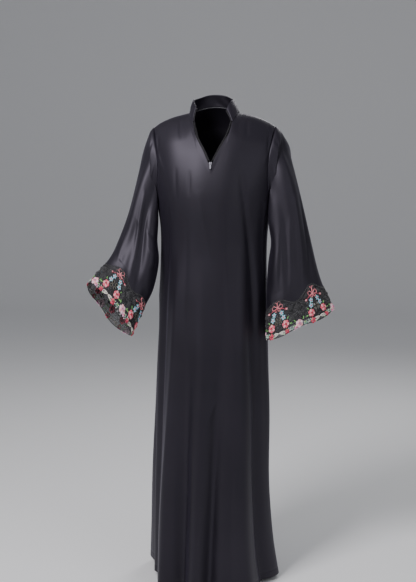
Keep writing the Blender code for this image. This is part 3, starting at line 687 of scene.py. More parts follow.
def top_edge_height(side, back, x):
    """Height of a panel's upper edge: slit, neckline and shoulder seam."""
    if back:
        neck = BACK_NECK_Z - BACK_NECK_DROP * (x / NECK_HALF_WIDTH) ** 2
    else:
        neck = np.interp(x, [row[0] for row in SLIT_EDGE[side]], [row[1] for row in SLIT_EDGE[side]])
    return np.where(x >= NECK_HALF_WIDTH, shoulder_height(x), neck)


def column_top(side, back, shares):
    """Heights at which the columns of a panel meet the upper edge."""
    low = np.full(shares.shape, UPPER_EDGE_SEARCH[0])
    high = np.full(shares.shape, UPPER_EDGE_SEARCH[1])
    for _ in range(HALVINGS):
        middle = (low + high) / 2
        x = read_curve(HALF_WIDTH[side], middle) * np.sin(shares * side_angle(middle))
        inside = top_edge_height(side, back, x) > middle
        low = np.where(inside, middle, low)
        high = np.where(inside, high, middle)
    return low


def column_shares(side, back):
    """Columns from the centre to the side edge, with one at each corner of the upper edge."""
    neck = column_share(side, NECK_HALF_WIDTH, SHOULDER_LINE[0][1])
    shoulder = np.linspace(neck, 1.0, SHOULDER_COLUMNS + 1)[1:]
    if back:
        return np.concatenate((np.linspace(0.0, neck, BACK_NECK_COLUMNS + 1), shoulder))
    corner = column_share(side, *COLLAR_CORNER)
    slit = np.linspace(0.0, corner, SLIT_COLUMNS + 1)
    front_neck = np.linspace(corner, neck, FRONT_NECK_COLUMNS + 1)[1:]
    return np.concatenate((slit, front_neck, shoulder))


def hem_height(back, shares):
    """Height of the hem, a little higher at the back than at the front."""
    turned = np.cos(shares * math.pi / 2) * (1 if back else -1)
    return HEM_Z + HEM_RISE_AT_BACK * (1 + turned) / 2


def grid_normals(points, closed, outward):
    """Unit normals of a grid. outward is a point grid that the normals have to face from."""
    if closed:
        along = np.roll(points, -1, axis=0) - np.roll(points, 1, axis=0)
    else:
        along = np.gradient(points, axis=0)
    normals = unit(np.cross(along, np.gradient(points, axis=1)))
    return -normals if np.sum(normals * (points - outward)) < 0 else normals


def finish(name):
    """One of the finishes, made when it is first asked for."""
    if name not in FINISHES:
        FINISHES[name] = FINISH_MAKERS[name](name)
    return FINISHES[name]


def mesh_object(name, points, faces, finishes, finish_of_face=None, uvs=None):
    """Make a smooth object from points and faces, with a texture place for each face corner."""
    data = bpy.data.meshes.new(name)
    data.from_pydata(points, [], faces)
    for each in finishes:
        data.materials.append(finish(each))
    if finish_of_face is not None:
        data.polygons.foreach_set("material_index", finish_of_face)
    if uvs is not None:
        layer = data.uv_layers.new(name="places")
        layer.data.foreach_set("uv", np.asarray(uvs, dtype=np.float32).ravel())
    data.shade_smooth()
    data.update()
    item = bpy.data.objects.new(name, data)
    bpy.context.collection.objects.link(item)
    return item


def grid_object(
    name, outer, finishes, closed=False, wall=CLOTH_WALL, places=None, keep=None, density=None
):
    """Make a thin shell from a grid of its outer surface. keep says which cells stay."""
    columns, rows = outer.shape[:2]
    spans = columns if closed else columns - 1
    i, j = np.meshgrid(np.arange(spans), np.arange(rows - 1), indexing="ij")
    if keep is not None:
        i, j = i[keep], j[keep]
    i, j = i.ravel(), j.ravel()
    after = (i + 1) % columns
    faces = np.stack((i * rows + j, after * rows + j, after * rows + j + 1, i * rows + j + 1), -1)
    uvs = None
    if places is not None:
        uvs = np.stack((places[i, j], places[i + 1, j], places[i + 1, j + 1], places[i, j + 1]), 1)
    middle = outer.reshape(-1, 3)
    first = faces[0]
    turn = np.cross(middle[first[1]] - middle[first[0]], middle[first[3]] - middle[first[0]])
    inward = outer.mean(axis=0)[rows // 2] - middle[first[0]]
    if turn @ inward > 0:
        faces = faces[:, ::-1]
        uvs = None if uvs is None else uvs[:, ::-1]
    item = mesh_object(name, middle, faces.tolist(), finishes, uvs=uvs)
    if density is not None:
        layer = item.data.attributes.new("density", "FLOAT", "POINT")
        layer.data.foreach_set("value", density.astype(np.float32).ravel())
    used = np.zeros(len(middle), dtype=bool)
    used[faces.ravel()] = True
    if not used.all():
        remove_loose(item.data)
    shell = item.modifiers.new("wall", "SOLIDIFY")
    shell.thickness = wall
    shell.offset = -1.0
    return item


def remove_loose(data):
    """Delete the points that no face uses."""
    mesh = bmesh.new()
    mesh.from_mesh(data)
    loose = [vert for vert in mesh.verts if not vert.link_faces]
    bmesh.ops.delete(mesh, geom=loose, context="VERTS")
    mesh.to_mesh(data)
    mesh.free()


def place(item, body="garment", replaced=()):
    """Let a piece ride on its body, and hide the solids that it stands for."""
    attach(item, body)
    if replaced:
        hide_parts(*replaced)
    return item


def panel_half(side, back):
    """Points, degrees and edge distance of one half of a panel, from its centre outwards."""
    shares = column_shares(side, back)
    hems = hem_height(back, shares)[:, None]
    tops = column_top(side, back, shares)[:, None]
    hem_rows = hems + np.array(HEM_ROWS)
    start = HEM_ROWS[-1] + (HEM_ROWS[-1] - HEM_ROWS[-2])
    lower = hems + start + (UNDERARM_Z - hems - start) * np.linspace(0.0, 1.0, BODY_ROWS)
    steps = np.linspace(0.0, 1.0, ARMHOLE_ROWS + 1)[1:]
    upper = UNDERARM_Z + (tops - UNDERARM_Z) * (1 - (1 - steps) ** ROW_CROWDING)
    z = np.concatenate((hem_rows, lower, upper), axis=1)
    angle = shares[:, None] * side_angle(z)
    degrees = np.degrees(angle)
    degrees = side * (180.0 - degrees if back else degrees) % 360.0
    edge = np.broadcast_to((1 - shares)[:, None], z.shape)
    return ring_point(side, back, angle, z), degrees, edge


def wrapped(degrees):
    """Angles that the crease tables can be read at: -90 to 270."""
    return (degrees + 90.0) % 360.0 - 90.0


def panel_surface(back):
    """The outer surface of the front or back with its fine folds, its seams and its hem."""
    right = panel_half(RIGHT, back)
    left = panel_half(LEFT, back)
    points, degrees, edge = (np.concatenate((r[:0:-1], l)) for r, l in zip(right, left))
    axis = points * np.array((AXIS_SPREAD, 0.0, 1.0))
    normals = grid_normals(points, False, axis)
    seam = np.abs(points[..., 1]) < SEAM_GAP
    normals[seam, 1] = 0.0
    normals = unit(normals)
    z = points[..., 2]
    crease = crease_sum(wrapped(degrees), z, BODY_CREASES, math.radians(BODY_RADIUS), 1.0)
    crease += drape_waves(np.radians(degrees), z)
    fade = smooth_step(edge / EDGE_FADE) * smooth_step((points[:, -1:, 2] - z) / TOP_FADE)
    width = edge * BODY_RADIUS * math.pi / 2
    dip = SEAM_DIP * np.exp(-((width / SEAM_DIP_WIDTH) ** 2))
    dip += hem_groove(z - points[:, :1, 2])
    return points + normals * (crease * fade - dip)[..., None]


def drape_waves(turn, z):
    """Slight unevenness of hanging cloth, in long soft waves."""
    return sum(
        height * np.sin(count * turn + run * z + offset) for height, count, run, offset in DRAPE_WAVES
    )


def hem_groove(above):
    """Depth of the pressed line where a turned hem is sewn, at a height above the edge."""
    away = (above - HEM_ROWS[HEM_STITCH_ROW]) / HEM_GROOVE_WIDTH
    return HEM_GROOVE * np.exp(-(away**2))


def make_panel(name, back, node):
    """The front or the back, one piece of cloth each."""
    return place(grid_object(name, panel_surface(back), ["cloth"]), replaced=(node,))


def armhole_point(side, angle):
    """A point of the armhole seam, its angle as the sleeve sections have it."""
    turned = np.mod(angle, 2 * math.pi)
    behind = turned > math.pi
    steps = np.where(behind, turned / math.pi - 1, 1 - turned / math.pi)
    top = column_top(side, False, np.array([1.0]))[0]
    z = UNDERARM_Z + (top - UNDERARM_Z) * (1 - (1 - steps) ** ROW_CROWDING)
    front = ring_point(side, False, side_angle(z), z)
    back = ring_point(side, True, side_angle(z), z)
    point = np.where(behind[..., None], back, front)
    near_seam = np.minimum(steps, 1 - steps) < NEAR_SEAM
    point[..., 1] = np.where(near_seam, 0.0, point[..., 1])
    point[..., 0] += side * SEAM_GAP
    return point


def sleeve_frame(side, station):
    """Centre, half edge vector, front normal and the two depths of sleeve sections."""
    rows = [(index, *row) for index, row in enumerate(SLEEVE_SECTIONS[side])]
    read = read_curve(rows, station)
    ahead = read_curve(rows, np.minimum(station + STATION_STEP, LAST_SECTION))
    behind = read_curve(rows, np.maximum(station - STATION_STEP, 0.0))
    travel = (ahead[..., :3] + ahead[..., 3:6] - behind[..., :3] - behind[..., 3:6]) / 2
    half = (read[..., :3] - read[..., 3:6]) / 2
    turned = np.clip(station / STATIONS_TO_TURN, 0.0, 1.0)[..., None]
    normal = unit(np.cross(half, travel) * -side)
    normal = unit(normal * turned + np.array((0.0, -1.0, 0.0)) * (1 - turned))
    return (read[..., :3] + read[..., 3:6]) / 2, half, normal, read[..., 6], read[..., 7], travel


def sleeve_surface(side, station, angle):
    """A point of a sleeve's outer surface, with its folds and fine creases."""
    station, angle = np.broadcast_arrays(
        np.asarray(station, dtype=float), np.asarray(angle, dtype=float)
    )
    on_sleeve = np.clip(station, 0.0, LAST_SECTION)
    centre, half, normal, front, back, travel = sleeve_frame(side, on_sleeve)
    degrees = np.degrees(angle) % 360.0
    fold = np.zeros(station.shape)
    for first, last, angle_first, angle_last, half_width, height in SLEEVE_FOLDS[side]:
        run = np.clip((station - first) / (last - first), 0.0, 1.0)
        crest = angle_first + (angle_last - angle_first) * run
        away = (degrees - crest + 180.0) % 360.0 - 180.0
        fold += height * np.sin(math.pi * run) * np.exp(-((away / half_width) ** 2))
    crease = crease_sum(
        station, degrees, SLEEVE_CREASES[side], SECTION_SPACING, math.radians(SLEEVE_RADIUS)
    )
    crease += SLEEVE_WAVE_SHARE * drape_waves(angle, station * SECTION_SPACING * SLEEVE_WAVE_STRETCH)
    fold = fold + crease * smooth_step(station / FIRST_STATION)
    depth = np.where(np.sin(angle) > 0, front, back)[..., None]
    cos, sin = np.cos(angle)[..., None], np.sin(angle)[..., None]
    outwards = unit(half) * cos + normal * sin
    point = centre + half * cos + normal * depth * sin + fold[..., None] * outwards
    past = (station - on_sleeve)[..., None]
    point = point + past * SECTION_SPACING * unit(travel)
    start = smooth_step(station / (2 * FIRST_STATION)) ** 0.5
    nearby = station < 2 * FIRST_STATION
    if nearby.any():
        mixed = armhole_point(side, angle[nearby]) * (1 - start[nearby])[..., None]
        point[nearby] = mixed + point[nearby] * start[nearby][..., None]
    return point


def make_sleeve(name, side, node):
    """A long wide sleeve, sewn to the armhole and ending under the lace."""
    angles = np.linspace(0.0, 2 * math.pi, SLEEVE_COLUMNS, endpoint=False)
    runs = np.linspace(0.0, 1.0, SLEEVE_ROWS) ** SLEEVE_ROW_CROWDING
    stations = runs * CLOTH_END_STATION
    points = sleeve_surface(side, stations[None, :], angles[:, None])
    middle = np.broadcast_to(points.mean(axis=0), points.shape)
    normals = grid_normals(points, True, middle)
    along = (stations * SECTION_SPACING)[None, :, None]
    points = points - normals * SEAM_DIP * np.exp(-((along / SEAM_DIP_WIDTH) ** 2))
    item = grid_object(name, points, ["cloth"], closed=True)
    return place(item, replaced=(node,))


def neck_seam():
    """The seam points of the neck, from the right front corner round the back to the left."""
    def upper(side, back, first, last, count):
        shares = np.linspace(first, last, count)
        z = column_top(side, back, shares)
        return ring_point(side, back, shares * side_angle(z), z)

    parts = []
    for side in (RIGHT, LEFT):
        neck = column_share(side, NECK_HALF_WIDTH, SHOULDER_LINE[0][1])
        corner = column_share(side, *COLLAR_CORNER)
        front = upper(side, False, corner, neck, COLLAR_FRONT_COLUMNS)
        back = upper(side, True, neck, 0.0, COLLAR_BACK_COLUMNS)
        parts.append(np.concatenate((front[:-1], back)))
    return np.concatenate((parts[0], parts[1][-2::-1]))


def collar_surface(shares_up):
    """The collar's outer surface: seam points by shares of its height."""
    seam = neck_seam()
    travelled = distance_along(seam)
    shares = travelled / travelled[-1]
    shares_up = np.asarray(shares_up)[None, :]
    inward = unit(seam * np.array((-1.0, -1.0, 0.0)))
    lean = np.radians(read_curve(COLLAR_LEAN, shares))[:, None]
    up = np.array((0.0, 0.0, 1.0))
    rise = up * np.cos(lean) + inward * np.sin(lean)
    thick = inward * np.cos(lean) - up * np.sin(lean)
    travel = read_curve(COLLAR_HEIGHT, shares)[:, None] * shares_up
    points = seam[:, None] + up * 2 * SEAM_GAP + rise[:, None] * travel[..., None]
    bow = COLLAR_BOW * np.sin(math.pi * shares_up)
    height, waves_round, waves_up, start = COLLAR_RIPPLE
    ripple = height * np.sin(waves_round * shares[:, None] + waves_up * shares_up)
    return points - thick[:, None] * (bow + ripple * smooth_step(shares_up * start))[..., None]


def make_collar(name, node):
    """The stand collar, one band that is open at the front."""
    rows = np.linspace(0.0, 1.0, COLLAR_ROWS)
    item = grid_object(name, collar_surface(rows), ["cloth"])
    return place(item, replaced=(node,))


def cuff_angle(side):
    """Girth of the cuff's edge, and a table from arc share to section angle."""
    angles = np.linspace(0.0, 2 * math.pi, CUFF_ANGLES)
    travelled = distance_along(sleeve_surface(side, np.full(angles.shape, LAST_SECTION), angles))
    return travelled[-1], travelled / travelled[-1], angles


def on_cuff(side, cuff, across, above, out):
    """Points on a cuff: metres round it, metres above its edge and metres off its surface."""
    girth, shares, angles = cuff
    share = across / girth
    turns = np.floor(share)

    def surface(share_now, above_now):
        angle = np.interp(share_now - turns, shares, angles)
        return sleeve_surface(side, LAST_SECTION - above_now / LACE_SECTION_LENGTH, angle)

    here = surface(share, above)
    step = DIRECTION_STEP
    round_it = surface(share + step / girth, above) - surface(share - step / girth, above)
    up_it = surface(share, above + step) - surface(share, above - step)
    normal = unit(np.cross(round_it, up_it)) * -side
    return here + normal * out[..., None]


def lace_wave(side, share):
    """1 at the middle of each lace motif and 0 halfway between two."""
    return 0.5 + 0.5 * np.cos(2 * math.pi * REPEATS * (share - MOTIF_PLACE[side]))


def lace_edges(side, shares):
    """Heights of the lace's lower and upper edges round the cuff, and the wave they follow."""
    wave = lace_wave(side, shares)
    return LOWER_SCALLOP * (1 - wave), LACE_VALLEY + (LACE_PEAK - LACE_VALLEY) * wave, wave


def set_inputs(node, settings):
    """Set the inputs of a node by their names."""
    for name, value in settings.items():
        node.inputs[name].default_value = value


class Look:
    """A material being made: its shader, and short calls that add its textures."""

    def __init__(self, name, settings):
        self.material = bpy.data.materials.new(name)
        self.material.use_nodes = True
        self.add = self.material.node_tree.nodes.new
        self.link = self.material.node_tree.links.new
        self.shader = self.material.node_tree.nodes["Principled BSDF"]
        set_inputs(self.shader, settings)

    def object_places(self):
        """Places in the object's own metres."""
        return self.add("ShaderNodeTexCoord").outputs["Object"]

    def stated_places(self):
        """Places in metres round the cuff and up it, as the mesh states them."""
        node = self.add("ShaderNodeUVMap")
        node.uv_map = "places"
        return node.outputs["UV"]

    def texture(self, kind, places, settings, output="Fac"):
        """A texture's value at some places."""
        node = self.add("ShaderNodeTex" + kind)
        set_inputs(node, settings)
        self.link(places, node.inputs["Vector"])
        return node.outputs[output]

    def colour(self, source, dark, light, low=0.0, high=1.0):
        """Let a value choose the colour, dark up to low and light from high on."""
        ramp = self.add("ShaderNodeValToRGB")
        for element, place_at, tone in zip(ramp.color_ramp.elements, (low, high), (dark, light)):
            element.position = place_at
            element.color = (*tone, 1)
        self.link(source, ramp.inputs["Fac"])
        self.link(ramp.outputs["Color"], self.shader.inputs["Base Color"])

    def roughness(self, source, low, high):
        """Let a value choose the roughness."""
        rough = self.add("ShaderNodeMapRange")
        set_inputs(rough, {"To Min": low, "To Max": high})
        self.link(source, rough.inputs["Value"])
        self.link(rough.outputs["Result"], self.shader.inputs["Roughness"])

    def bump(self, source, strength, distance=0.0003):
        """Let a value raise the surface."""
        bump = self.add("ShaderNodeBump")
        set_inputs(bump, {"Strength": strength, "Distance": distance})
        self.link(source, bump.inputs["Height"])
        self.link(bump.outputs["Normal"], self.shader.inputs["Normal"])

    def work(self, operation, first, second):
        """A sum or comparison of two values."""
        node = self.add("ShaderNodeMath")
        node.operation = operation
        for socket, value in zip(node.inputs, (first, second)):
            if isinstance(value, float):
                socket.default_value = value
            else:
                self.link(value, socket)
        return node.outputs["Value"]


def cloth_material(name):
    """Soft black crepe with a violet grey sheen and a fine grain."""
    look = Look(name, {
        "Sheen Weight": 0.10,
        "Sheen Roughness": 0.40,
        "Sheen Tint": (0.60, 0.52, 0.80, 1),
        "Specular IOR Level": 0.42,
        "Specular Tint": (0.90, 0.84, 1.0, 1),
    })
    places = look.object_places()
    broad = look.texture("Noise", places, {"Scale": 3.2, "Detail": 3.0})
    dark, light = (0.0060, 0.0053, 0.0080), (0.0125, 0.0108, 0.0162)
    look.colour(broad, dark, light, low=0.30, high=0.75)
    look.roughness(broad, low=0.44, high=0.56)
    grain = look.texture("Noise", places, {"Scale": 900.0, "Detail": 2.0})
    look.bump(grain, strength=0.25)
    return look.material


def floor_material(name):
    """Plain pale floor."""
    return Look(name, {"Base Color": (0.90, 0.90, 0.91, 1), "Roughness": 0.85}).material


def metal_material(name):
    """Worn satin nickel."""
    look = Look(name, {"Base Color": (0.20, 0.195, 0.22, 1), "Metallic": 1.0})
    wear = look.texture("Noise", look.object_places(), {"Scale": 420.0})
    look.roughness(wear, low=0.38, high=0.58)
    return look.material


def tooth_material(name):
    """Dark nickel of the zip's teeth."""
    look = Look(name, {"Metallic": 0.60, "Roughness": 0.45})
    wear = look.texture("Noise", look.object_places(), {"Scale": 300.0})
    look.colour(wear, dark=(0.020, 0.019, 0.022), light=(0.060, 0.057, 0.066))
    return look.material


def tape_material(name):
    """Woven black zip tape with a fine herringbone."""
    look = Look(name, {"Base Color": (0.011, 0.010, 0.012, 1), "Roughness": 0.85})
    weave = look.texture("Wave", look.object_places(), {"Scale": 500.0, "Distortion": 1.5})
    weave.node.bands_direction = "DIAGONAL"
    look.bump(weave, strength=0.5)
    return look.material


def thread_material(name):
    """Satin stitch in one thread, with fine stripes and a lighter shade of the same colour."""
    colour, light = THREADS[name]
    look = Look(name, {"Roughness": 0.42, "Sheen Weight": 0.20})
    places = look.stated_places()
    stripes = look.texture("Wave", places, {"Scale": 520.0, "Distortion": 1.2, "Detail Scale": 2.0})
    patches = look.texture("Noise", places, {"Scale": 260.0, "Detail": 2.0})
    tone = look.add("ShaderNodeMix")
    tone.data_type = "FLOAT"
    set_inputs(tone, {"Factor": 0.45})
    look.link(stripes, tone.inputs["A"])
    look.link(patches, tone.inputs["B"])
    look.colour(tone.outputs["Result"], colour, light, low=0.30, high=0.72)
    look.bump(stripes, strength=0.5)
    return look.material


def net_material(name):
    """Black lace ground: open net low between the motifs, and dense work elsewhere."""
    look = Look(name, {"Roughness": 0.62, "Sheen Weight": 0.15})
    places = look.stated_places()
    split = look.add("ShaderNodeSeparateXYZ")
    look.link(places, split.inputs["Vector"])
    x, y = split.outputs["X"], split.outputs["Y"]
    strands = []
    for diagonal in (look.work("ADD", x, y), look.work("SUBTRACT", x, y)):
        repeated = look.work("PINGPONG", look.work("MULTIPLY", diagonal, 1 / NET_PITCH), 0.5)
        strands.append(look.work("LESS_THAN", repeated, NET_STRAND))
    net = look.work("MAXIMUM", *strands)
    cells = look.texture("Voronoi", places, {"Scale": 300.0}, output="Distance")
    density = look.add("ShaderNodeAttribute")
    density.attribute_name = "density"
    covered = look.work("GREATER_THAN", cells, 0.09)
    dense = look.work("MULTIPLY", covered, look.work("GREATER_THAN", density.outputs["Fac"], 0.5))
    look.link(look.work("MAXIMUM", net, dense), look.shader.inputs["Alpha"])
    # The lighter tone on the raised cells is partly the lace's own mottling and partly painted glints
    # on the threads.
    look.colour(cells, dark=(0.004, 0.004, 0.005), light=(0.050, 0.048, 0.056), low=0.35, high=0.85)
    look.bump(cells, strength=0.7, distance=0.0006)
    return look.material


FINISH_MAKERS = {
    "cloth": cloth_material,
    "floor": floor_material,
    "lace_net": net_material,
    "tooth_metal": tooth_material,
    "zip_metal": metal_material,
    "zip_tape": tape_material,
}
FINISH_MAKERS.update({name: thread_material for name in THREADS})


class Pile:
    """Many small shapes gathered for one mesh, each with its finish and texture places."""

    def __init__(self):
        self.points = []
        self.places = []
        self.faces = []
        self.finish_of_face = []
        self.finishes = []
        self.count = 0

    def add(self, points, places, faces, finish_name):
        """Add one shape. Its faces number its own points from 0."""
        if finish_name not in self.finishes:
            self.finishes.append(finish_name)
        self.points.append(np.asarray(points, dtype=float))
        self.places.append(np.asarray(places, dtype=float))
        self.faces += [[self.count + each for each in face] for face in faces]
        self.finish_of_face += [self.finishes.index(finish_name)] * len(faces)
        self.count += len(points)

    def build(self, name, put_in_place=None):
        """Make the mesh, with the points moved onto their surface first."""
        points = np.concatenate(self.points)
        places = np.concatenate(self.places)
        if put_in_place is not None:
            points = put_in_place(points[:, 0], points[:, 1], points[:, 2])
        uvs = np.concatenate([places[face] for face in self.faces])
        return mesh_object(name, points, self.faces, self.finishes, self.finish_of_face, uvs)


def turned(outline, centre, degrees):
    """Turn an outline and move it to its centre."""
    cos, sin = math.cos(math.radians(degrees)), math.sin(math.radians(degrees))
    x, y = outline[:, 0], outline[:, 1]
    return np.stack((centre[0] + x * cos - y * sin, centre[1] + x * sin + y * cos), axis=1)


def petal(length, width, taper, count=16):
    """Outline of a petal from the origin along +x: taper 0 is an ellipse, 1 a narrow base."""
    turn = np.linspace(0.0, 2 * math.pi, count, endpoint=False)
    share = (1 - np.cos(turn)) / 2
    return np.stack((length * share, width / 2 * np.sin(turn) * share**taper), axis=1)


def leaf(length, width, count=16):
    """Outline of a leaf from the origin along +x, pointed at both ends."""
    turn = np.linspace(0.0, 2 * math.pi, count, endpoint=False)
    side = np.sign(np.sin(turn)) * np.abs(np.sin(turn)) ** 1.5
    return np.stack((length * (1 - np.cos(turn)) / 2, width / 2 * side), axis=1)


def add_dome(pile, outline, rise, rim, middle=None, grain=0.0):
    """A raised patch of satin stitch, with one finish at its rim and one in its middle.

    rise is its height and its lift off the lace. Where the middle finish is lighter than the rim, it is
    a painted highlight on the patch's raised crown.
    """
    height, lift = rise
    count = len(outline)
    centre = outline.mean(axis=0)
    rings = []
    for share in DOME_RINGS:
        flat = centre + (outline - centre) * share
        out = np.full(count, lift + height * math.sqrt(1 - share**2))
        rings.append(np.column_stack((flat, out)))
    points = np.concatenate((*rings, [(*centre, lift + height)]))
    cos, sin = math.cos(math.radians(grain)), math.sin(math.radians(grain))
    places = points[:, :2] @ np.array(((cos, -sin), (sin, cos)))
    nexts = [(i + 1) % count for i in range(count)]
    bands = [
        [(r * count + i, r * count + nexts[i], (r + 1) * count + nexts[i], (r + 1) * count + i)
         for i in range(count)]
        for r in range(len(DOME_RINGS) - 1)
    ]
    tip = len(DOME_RINGS) * count
    last = (len(DOME_RINGS) - 1) * count
    cap = [(last + i, last + nexts[i], tip) for i in range(count)]
    base = [tuple(range(count - 1, -1, -1))]
    rim_faces = base + bands[0]
    inner_faces = bands[1] + cap
    pile.add(points, places, rim_faces + inner_faces, rim)
    if middle is None:
        return
    if middle not in pile.finishes:
        pile.finishes.append(middle)
    changed = pile.finishes.index(middle)
    pile.finish_of_face[-len(inner_faces):] = [changed] * len(inner_faces)


def add_cord(pile, path, cut, finish_name, closed=False):
    """A raised line of stitches along a path, round on top and flat below.

    cut is its half width, its height and its lift off the lace.
    """
    half_width, height, lift = cut
    path = np.asarray(path, dtype=float)
    count = len(path)
    if closed:
        run = np.roll(path, -1, axis=0) - np.roll(path, 1, axis=0)
    else:
        run = np.gradient(path, axis=0)
    across = unit(run) @ np.array(((0.0, 1.0), (-1.0, 0.0)))
    widths = np.full(count, half_width)
    if not closed:
        widths[[0, -1]] *= CORD_END
    travelled = distance_along(path)
    points, places = [], []
    for turn in CORD_PROFILE:
        flat = path + across * (widths * turn)[:, None]
        rise = lift + height * math.sqrt(1 - turn * turn) * widths / half_width
        points.append(np.column_stack((flat, rise)))
        places.append(np.column_stack((np.full(count, turn * half_width), travelled)))
    lines = len(CORD_PROFILE)
    spans = count if closed else count - 1
    faces = []
    for line in range(lines):
        beside = (line + 1) % lines
        for i in range(spans):
            j = (i + 1) % count
            faces.append((line * count + i, beside * count + i, beside * count + j, line * count + j))
    if not closed:
        faces.append(tuple(line * count for line in range(lines))[::-1])
        faces.append(tuple(line * count + count - 1 for line in range(lines)))
    pile.add(np.concatenate(points), np.concatenate(places), faces, finish_name)


def smooth_path(points, count):
    """A smooth path through a few points."""
    rows = [(index, *point) for index, point in enumerate(points)]
    return read_curve(rows, np.linspace(0, len(points) - 1, count))


def add_loop_flower(pile, centre, upwards):
    """The large flower of open loop petals, each a thick outline with a lighter line on it."""
    for degrees, length, width in LOOP_PETALS:
        for side in (RIGHT, LEFT):
            turn = upwards + side * degrees
            base = turned(np.array(((LOOP_BASE_OFF, 0.0),)), centre, turn)[0]
            loop = turned(petal(length, width, LOOP_TAPER, LOOP_POINTS), base, turn)
            add_cord(pile, loop, CORDS["loop"], "rose_thread", closed=True)
            # The thin lighter cord along each loop is a painted highlight.
            add_cord(pile, loop, CORDS["loop painted highlight"], "blush_thread", closed=True)
    heart = turned(petal(*LOOP_HEART), (centre[0], centre[1] - LOOP_HEART_DROP), upwards)
    add_dome(pile, heart, DOMES["loop heart"], "crimson_thread", "rose_thread", grain=upwards)


def add_bud(pile, tip, root):
    """A closed bud on a stem that runs to its flower."""
    degrees = math.degrees(math.atan2(*(tip - root)[::-1]))
    bend = (tip + root) / 2 + np.array((0.0, BUD_BEND))
    add_cord(pile, smooth_path((root, bend, tip), STEM_POINTS), CORDS["bud stem"], "rose_thread")
    outline = turned(petal(*BUD_PETAL), tip, degrees)
    add_dome(pile, outline, DOMES["bud"], "rose_thread", "blush_thread", grain=degrees)
    for side in (RIGHT, LEFT):
        sepal = turned(leaf(*BUD_SEPAL), tip, degrees + side * BUD_SEPAL_TURN)
        add_dome(pile, sepal, DOMES["sepal"], "crimson_thread", grain=degrees)


def add_star(pile, centre, size, start):
    """A small star flower of pointed petals round a bright heart."""
    width = size * STAR_WIDTH
    for index in range(STAR_PETALS):
        turn = start + 360 / STAR_PETALS * index
        outline = turned(leaf(size, width, STAR_POINTS), centre, turn)
        # The lighter thread in the middle of each petal is a painted highlight.
        add_dome(pile, outline, DOMES["star petal"], "blue_thread", "ice_thread", grain=turn)
    heart = turned(petal(width, width, 0.0, STAR_POINTS), (centre[0] - width / 2, centre[1]), 0)
    add_dome(pile, heart, DOMES["star heart"], "heart_thread", "rose_thread")


def rose_petal(radius, shares):
    """Outline of a rose's petal, its length and width in shares of the rose's radius."""
    length, width, taper, count = shares
    return petal(radius * length, radius * width, taper, count)


def add_rose(pile, centre, radius, threads, start, petals=ROSE_PETALS):
    """A rose of overlapping rounded petals round a rolled heart."""
    outer, inner, heart = threads
    for index in range(petals):
        turn = start + 360 / petals * index
        root = turned(np.array(((radius * ROSE_ROOT, 0.0),)), centre, turn)[0]
        outline = turned(rose_petal(radius, ROSE_OUTER_PETAL), root, turn)
        middle = inner if index % 2 else None
        add_dome(pile, outline, DOMES["rose petal"], outer, middle, grain=turn + 90)
    for index in range(ROSE_INNER_PETALS):
        turn = start + ROSE_INNER_START + 360 / ROSE_INNER_PETALS * index
        outline = turned(rose_petal(radius, ROSE_INNER_PETAL), centre, turn)
        add_dome(pile, outline, DOMES["inner rose petal"], outer, inner, grain=turn + 90)
    turns = np.linspace(0.0, SPIRAL_END, SPIRAL_POINTS)
    reach = radius * SPIRAL_START + radius * SPIRAL_GROWTH * turns
    spiral = centre + reach[:, None] * np.column_stack((np.cos(turns), np.sin(turns)))
    add_cord(pile, spiral, (radius * SPIRAL_THREAD, SPIRAL_HEIGHT, SPIRAL_LIFT), heart)


def add_leaf(pile, root, length, degrees, threads=GREEN_LEAF):
    """A pointed leaf with a raised rib."""
    ground, rib = threads
    outline = turned(leaf(length, length * LEAF_WIDTH, LEAF_POINTS), root, degrees)
    add_dome(pile, outline, DOMES["leaf"], ground, grain=degrees + LEAF_GRAIN)
    line = turned(np.array([(length * share, 0.0) for share in LEAF_RIB]), root, degrees)
    add_cord(pile, smooth_path(line, RIB_POINTS), CORDS["leaf rib"], rib)


def add_leaves(pile, centre, side, rows):
    """The leaves of a table, on one side of a middle."""
    for x, y, length, turn, towards, threads in rows:
        add_leaf(pile, (centre + side * x, y), length, turn + side * towards, threads)


def add_roses(pile, centre, rows, dice):
    """The roses of a table, each turned at random."""
    for x, y, radius, threads, petals in rows:
        start = dice.uniform(0, ROSE_SWING)
        add_rose(pile, np.array((centre + x, y)), radius, threads, start, petals)


def oval(centre, width, height, count):
    """Outline of an oval round its centre."""
    turns = np.linspace(0.0, 2 * math.pi, count, endpoint=False)
    ring = np.column_stack((width / 2 * np.cos(turns), height / 2 * np.sin(turns)))
    return np.array(centre) + ring


def add_window(pile, centre):
    """The openwork window: corded loops round the holes that are cut through the lace."""
    for x, y, width, height in WINDOW_HOLES:
        loop = oval((centre + x, y), width, height, WINDOW_HOLE_POINTS)
        add_cord(pile, loop, CORDS["window hole"], "olive_thread", closed=True)
    ring = oval((centre, WINDOW_MIDDLE), *WINDOW_RING, WINDOW_RING_POINTS)
    add_cord(pile, ring, CORDS["window ring"], "black_thread", closed=True)


